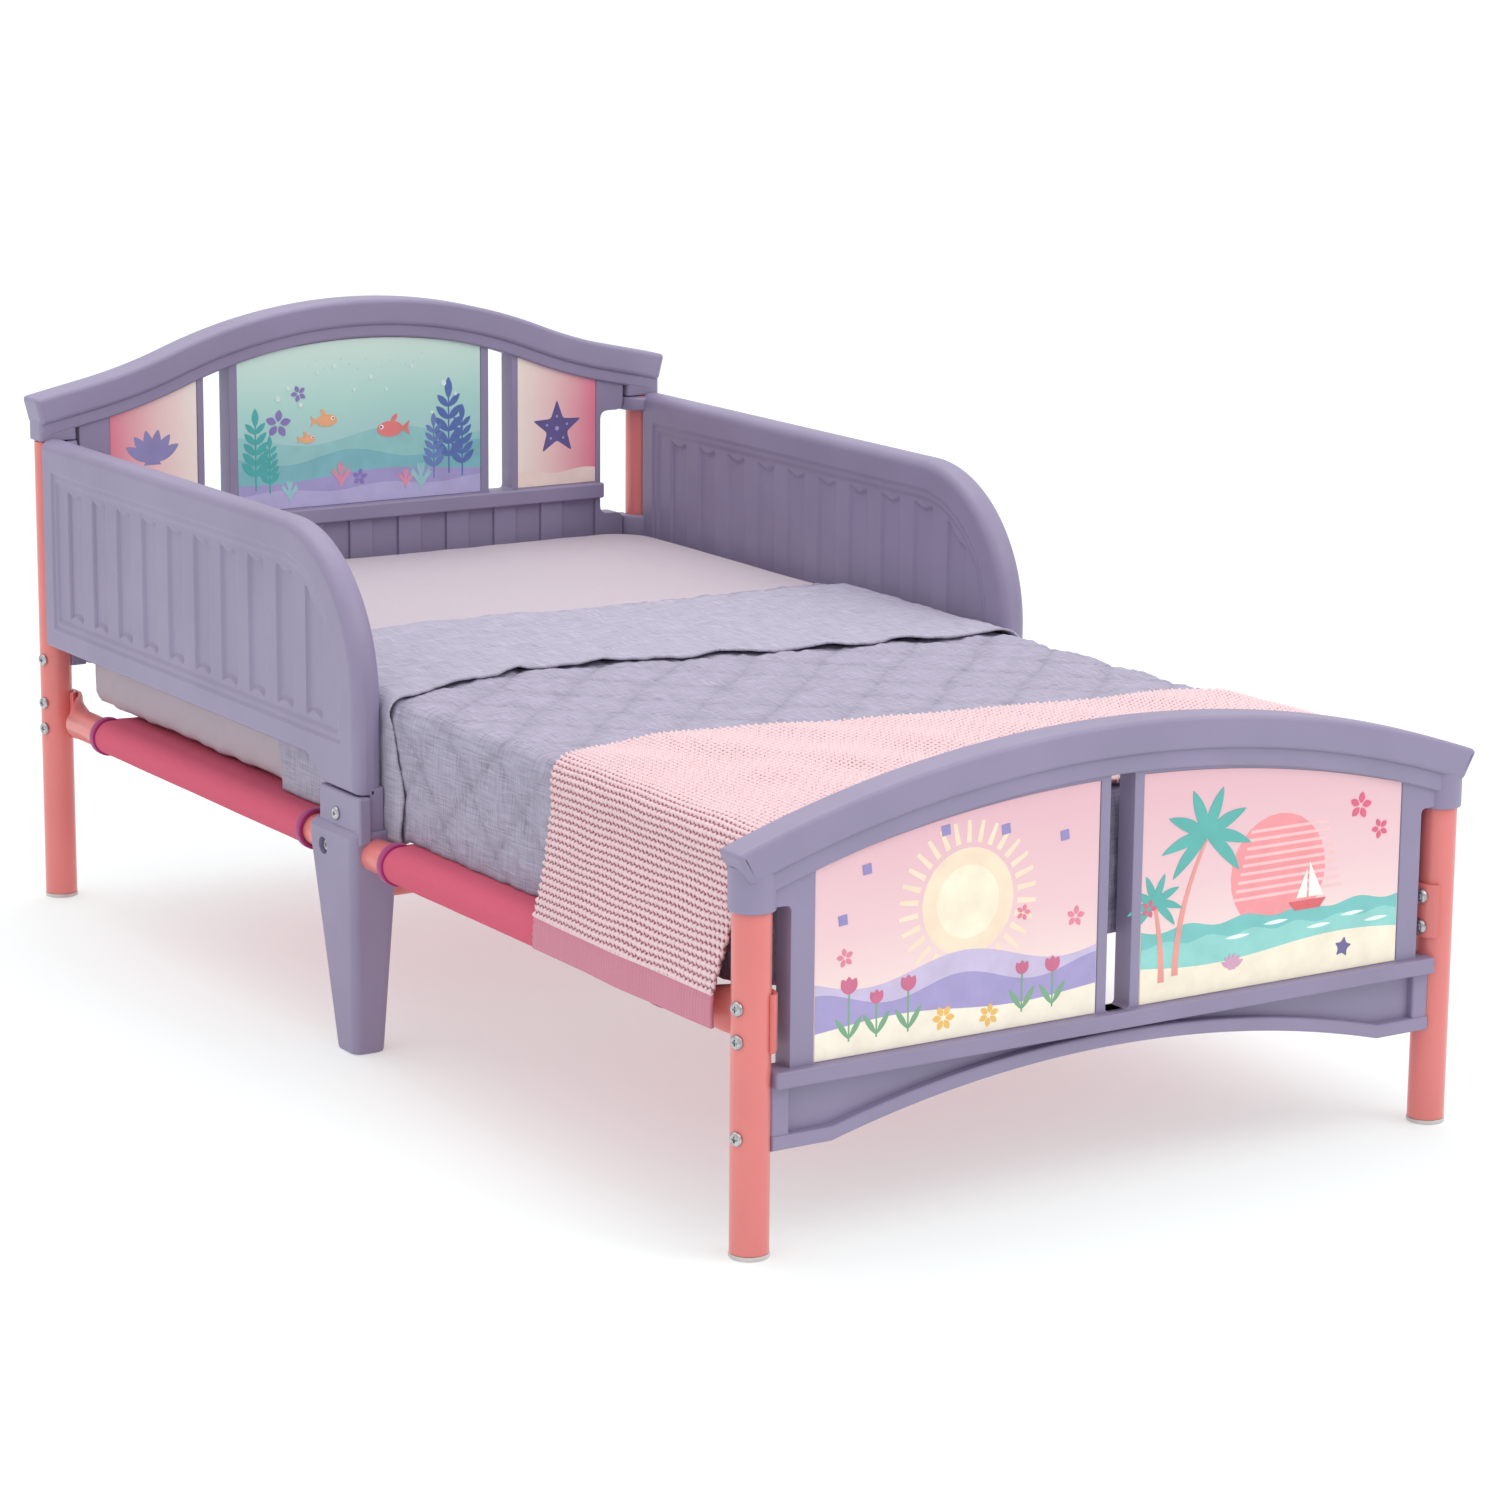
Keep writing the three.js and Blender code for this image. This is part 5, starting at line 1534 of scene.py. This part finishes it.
def coral_branch(cx, cz, size):
    """A branching coral of tapering twigs."""
    twigs = [(90, 1.0, 0), (62, 0.72, 0.15), (118, 0.7, 0.2), (40, 0.5, 0.32), (140, 0.5, 0.38),
             (75, 0.45, 0.5), (105, 0.42, 0.55)]
    return [leaf(cx, cz + size * up, size * reach, size * 0.13, turn) for turn, reach, up in twigs]


def plain_fish(cx, cz, size, facing=1):
    body = disc(cx, cz, size, size * 0.55)
    tail = [(cx - facing * size * 0.85, cz), (cx - facing * size * 1.55, cz + size * 0.5),
            (cx - facing * size * 1.4, cz), (cx - facing * size * 1.55, cz - size * 0.5)]
    fin = leaf(cx - facing * size * 0.1, cz + size * 0.45, size * 0.75, size * 0.35, 90 + facing * 40)
    return [body, tail, fin]


def palm(cx, cz, height, lean, crown):
    """A leaning trunk with a crown of fronds: trunk shapes and frond shapes."""
    steps = 12
    left, right = [], []
    for i in range(steps + 1):
        t = i / steps
        middle = cx + lean * t * t
        half = 3.4 - 1.9 * t
        left.append((middle - half, cz + height * t))
        right.append((middle + half, cz + height * t))
    trunk = left + right[::-1]
    top = (cx + lean, cz + height)
    bends = ((170, 0.38), (140, 0.22), (105, 0.1), (75, -0.1), (40, -0.22), (10, -0.38), (205, 0.3),
             (-25, -0.3))
    fronds = [leaf(*top, crown, crown * 0.26, angle, bend) for angle, bend in bends]
    return [trunk], fronds


def sun_rays(cx, cz, inner, outer, count, start, stop):
    rays = []
    for i in range(count):
        angle = math.radians(start + (stop - start) * (i + 0.5) / count)
        side = math.radians((stop - start) / count * 0.24)
        rays.append([(cx + inner * math.cos(angle - side), cz + inner * math.sin(angle - side)),
                     (cx + outer * math.cos(angle - side * 0.5), cz + outer * math.sin(angle - side * 0.5)),
                     (cx + outer * math.cos(angle + side * 0.5), cz + outer * math.sin(angle + side * 0.5)),
                     (cx + inner * math.cos(angle + side), cz + inner * math.sin(angle + side))])
    return rays


def sail_boat(cx, cz, size):
    hull = [(cx - size * 0.9, cz), (cx - size * 0.6, cz - size * 0.35), (cx + size * 0.6, cz - size * 0.35),
            (cx + size * 0.9, cz)]
    main = [(cx + size * x, cz + size * z) for x, z in ((0.05, 0.12), (0.05, 1.5), (0.75, 0.12))]
    jib = [(cx - size * x, cz + size * z) for x, z in ((0.05, 0.12), (0.05, 1.25), (0.55, 0.12))]
    return [hull], [main, jib]


def make_panel(name, outline, front, base, slot_name, layers):
    """A printed panel: its sheet, and its shapes in (colour, shapes) layers from back to front."""
    body = add_object(f"{name}_sheet", plate(outline, front), base, 35)
    finished(body, "bed_frame", slot_name, name)
    parts, indices, inks = [], [], []
    for layer, (color, shapes) in enumerate(layers, 1):
        inks.append(ink(*color))
        for order, shape in enumerate(shapes):
            part = inlay(shape, front, 0.05 * layer + 0.04 * order / len(shapes))
            parts.append(part)
            indices += [layer - 1] * len(part[1])
    art = add_object(f"{name}_print", merge(*parts), inks[0])
    for made in inks[1:]:
        art.data.materials.append(made)
    art.data.polygons.foreach_set("material_index", np.array(indices, np.int32))
    art.data.shade_flat()
    finished(art, "bed_frame", slot_name)


def inset(outline, margin=0.35):
    """The outline made a little smaller, to fit in its opening."""
    points = np.array(outline, float)
    low, high = points.min(0), points.max(0)
    middle, half = (low + high) / 2, (high - low) / 2
    return [tuple(p) for p in middle + (points - middle) * (half - margin) / half]


def centre_art():
    low, half = HEAD["art_bottom"] + 0.8, HEAD["art_half"] - 0.8
    places = ((-96, 496, 3), (-84, 506, 2), (-70, 488, 2.4), (12, 512, 2.6), (30, 498, 1.8), (98, 500, 3),
              (112, 488, 2), (60, 520, 2), (-30, 526, 2.2), (-8, 500, 1.6), (84, 470, 1.7), (-50, 520, 1.5))
    bubbles = [disc(*place) for place in places]
    specks = [disc(-60 + 9.5 * i, 528 + 6 * math.sin(i * 1.9), 0.9, steps=10) for i in range(15)]
    return [
        ((150, 205, 202), [ground(-half, half, low + 20, 452, 7, 190, 0.4)]),
        ((128, 190, 196), [ground(-half, half, low + 14, 432, 6, 150, 2.1)]),
        ((168, 160, 208), [ground(-half, half, low, 411, 4, 260, 1.0)]),
        ((186, 180, 220), [ground(-half, half, low, 398, 2.5, 120, 0.2)]),
        ((92, 118, 178), kelp(104, 404, 88) + kelp(120, 400, 66)),
        ((110, 136, 190), kelp(86, 400, 60)),
        ((72, 176, 172), kelp(-122, 402, 74) + kelp(-106, 398, 52)),
        ((228, 150, 176), coral_branch(-24, 396, 30) + coral_branch(52, 390, 24)),
        ((154, 206, 210), coral_branch(70, 386, 34) + coral_branch(-84, 386, 26)),
        ((240, 176, 128), plain_fish(-40, 470, 12) + plain_fish(-62, 452, 8)),
        ((236, 132, 128), plain_fish(34, 456, 15, -1)),
        ((252, 250, 244), [disc(-33, 472, 2), disc(-57, 453.5, 1.5), disc(24, 458.5, 2.4)]),
        ((60, 66, 96), [disc(-32.6, 472, 1), disc(-56.7, 453.5, 0.8), disc(23.4, 458.5, 1.2)]),
        ((140, 122, 188), flowers((-96, 470, 15, 12), (-72, 500, 9, 40), (-2, 408, 9, 10))),
        ((222, 240, 236), bubbles + specks),
    ]


def shell_art():
    low, (x0, x1) = HEAD["art_bottom"] + 0.8, HEAD["side_art"]
    return [((250, 226, 214), [ground(-x1 + 1, -x0 - 1, low, 396, 2, 70, 0.5)]),
            ((146, 140, 190), scallop_shell(-238, 441, 34))]


def starfish_art():
    low, (x0, x1) = HEAD["art_bottom"] + 0.8, HEAD["side_art"]
    turns = [math.radians(90 + 72 * i) for i in range(5)]
    dots = [disc(236 + 13 * math.cos(turn), 442 + 13 * math.sin(turn), 1.4, steps=12) for turn in turns]
    return [((250, 226, 214), [ground(x0 + 1, x1 - 1, low, 396, 2, 70, 2.5)]),
            ((104, 94, 148), [star(236, 442, 31, 13)]),
            ((176, 168, 208), dots + [disc(236, 442, 2.4, steps=14)])]


def meadow_art():
    low, (x0, x1) = FOOT["ledge"][3] + 1.2, FOOT["art"]
    left, right = -x1 + 1, -x0 - 1
    # place across, foot of the cup, size of the cup, size that its stem reaches by
    places = ((-262, 186, 16, 12), (-236, 178, 13, 9), (-206, 182, 15, 11), (-96, 182, 13, 9),
              (-66, 178, 15, 11))
    tulips = [leaf(x, z + size, size * 0.9, size * 0.5, angle)
              for x, z, size, _ in places for angle in (62, 90, 118)]
    stems = [[(x - 0.8, 164), (x + 0.8, 164), (x + 0.8, z + 4 + reach), (x - 0.8, z + 4 + reach)]
             for x, z, _, reach in places]
    blades = [leaf(x, 166, 22, 5, angle) for x, *_ in places for angle in (55, 125)]
    squares = [[(x, z), (x + 8, z + 1), (x + 7, z + 9), (x - 1, z + 8)] for x, z in
               ((-250, 296), (-272, 258), (-118, 312), (-60, 300), (-176, 318))]
    return [
        ((252, 226, 200), [disc(-150, 262, 44)] + sun_rays(-150, 262, 48, 66, 30, 0, 360)),
        ((253, 238, 214), [disc(-150, 262, 30)]),
        ((204, 190, 222), [ground(left, right, low, 214, 9, 190, 0.3)]),
        ((166, 154, 204), [ground(left, right, low, 198, 7, 140, 2.2)]),
        ((252, 240, 222), [ground(left, right, low, 176, 3.5, 230, 1.2)]),
        ((120, 170, 134), stems + blades),
        ((206, 104, 140), tulips),
        ((240, 190, 96), flowers((-172, 170, 11, 0), (-128, 166, 10, 20), petals=6)),
        ((232, 130, 156), flowers((-44, 236, 9, 10), (-266, 232, 8, 30), (-96, 246, 7, 0))),
        ((150, 138, 196), squares),
    ]


def island_art():
    low, (x0, x1) = FOOT["ledge"][3] + 1.2, FOOT["art"]
    left, right = x0 + 1, x1 - 1
    trunk_a, fronds_a = palm(58, 172, 112, 30, 44)
    trunk_b, fronds_b = palm(44, 168, 66, -8, 27)
    hull, sails = sail_boat(196, 218, 22)
    lines = [[(118 + 2 * i, 226 + 7 * i), (232 - 2 * i, 226 + 7 * i), (232 - 2 * i, 228.6 + 7 * i),
              (118 + 2 * i, 228.6 + 7 * i)] for i in range(9)]
    foam = [leaf(x, z, 26, 3.4, 2) for x, z in ((110, 196), (150, 203), (232, 200), (258, 192), (196, 194))]
    return [
        ((246, 152, 158), [disc(164, 246, 50)]),
        ((250, 198, 200), lines),
        ((118, 196, 194), [ground(left, right, low, 212, 2.5, 60, 0.4)]),
        ((146, 212, 206), [ground(left, right, low, 200, 2.2, 46, 1.4)]),
        ((238, 250, 244), foam),
        ((250, 238, 216), [ground(left, right, low, 182, 5, 280, 2.6)]),
        ((236, 158, 150), trunk_b + trunk_a),
        ((88, 178, 172), fronds_b + fronds_a),
        ((222, 96, 104), hull),
        ((253, 248, 240), sails),
        ((226, 92, 130), flowers((250, 292, 12, 8), (272, 270, 9, 40), (30, 232, 8, 0))),
        ((104, 94, 148), [star(236, 172, 10, 4.4, 5, 80)]),
        ((214, 160, 190), scallop_shell(118, 170, 13)),
    ]


SEA_STOPS = ((0.0, srgb(176, 170, 214)), (0.25, srgb(166, 206, 210)), (0.6, srgb(178, 224, 212)),
             (1.0, srgb(214, 238, 224)))
BLUSH_STOPS = ((0.0, srgb(250, 238, 224)), (0.45, srgb(246, 206, 202)), (1.0, srgb(236, 130, 152)))
SKY_STOPS = ((0.0, srgb(252, 236, 224)), (0.5, srgb(240, 202, 207)), (1.0, srgb(232, 182, 193)))


def make_panels():
    head_front, foot_front = HEAD["art_floor"] - 1.3, FOOT["art_floor"] - 1.3
    sea = print_sheet("sea_print", "Z", HEAD["art_bottom"], 552, *SEA_STOPS)
    blush = print_sheet("pink_print", "X", *HEAD["side_art"], *BLUSH_STOPS)
    sky = print_sheet("sky_print", "Z", FOOT["ledge"][3], 345, *SKY_STOPS)
    head = (head_art_opening, head_front)
    foot = (foot_art_opening, foot_front)
    rows = (("headboard", "centre", *head, sea, "sea_print", centre_art()),
            ("headboard", "left", *head, blush, "pink_print", shell_art()),
            ("headboard", "right", *head, blush, "pink_print", starfish_art()),
            ("footboard", "left", *foot, sky, "pink_print", meadow_art()),
            ("footboard", "right", *foot, sky, "pink_print", island_art()))
    for board, place, opening, front, base, slot_name, layers in rows:
        make_panel(f"{board}_art_{place}", inset(opening(place)), front, base, slot_name, layers)


make_panels()
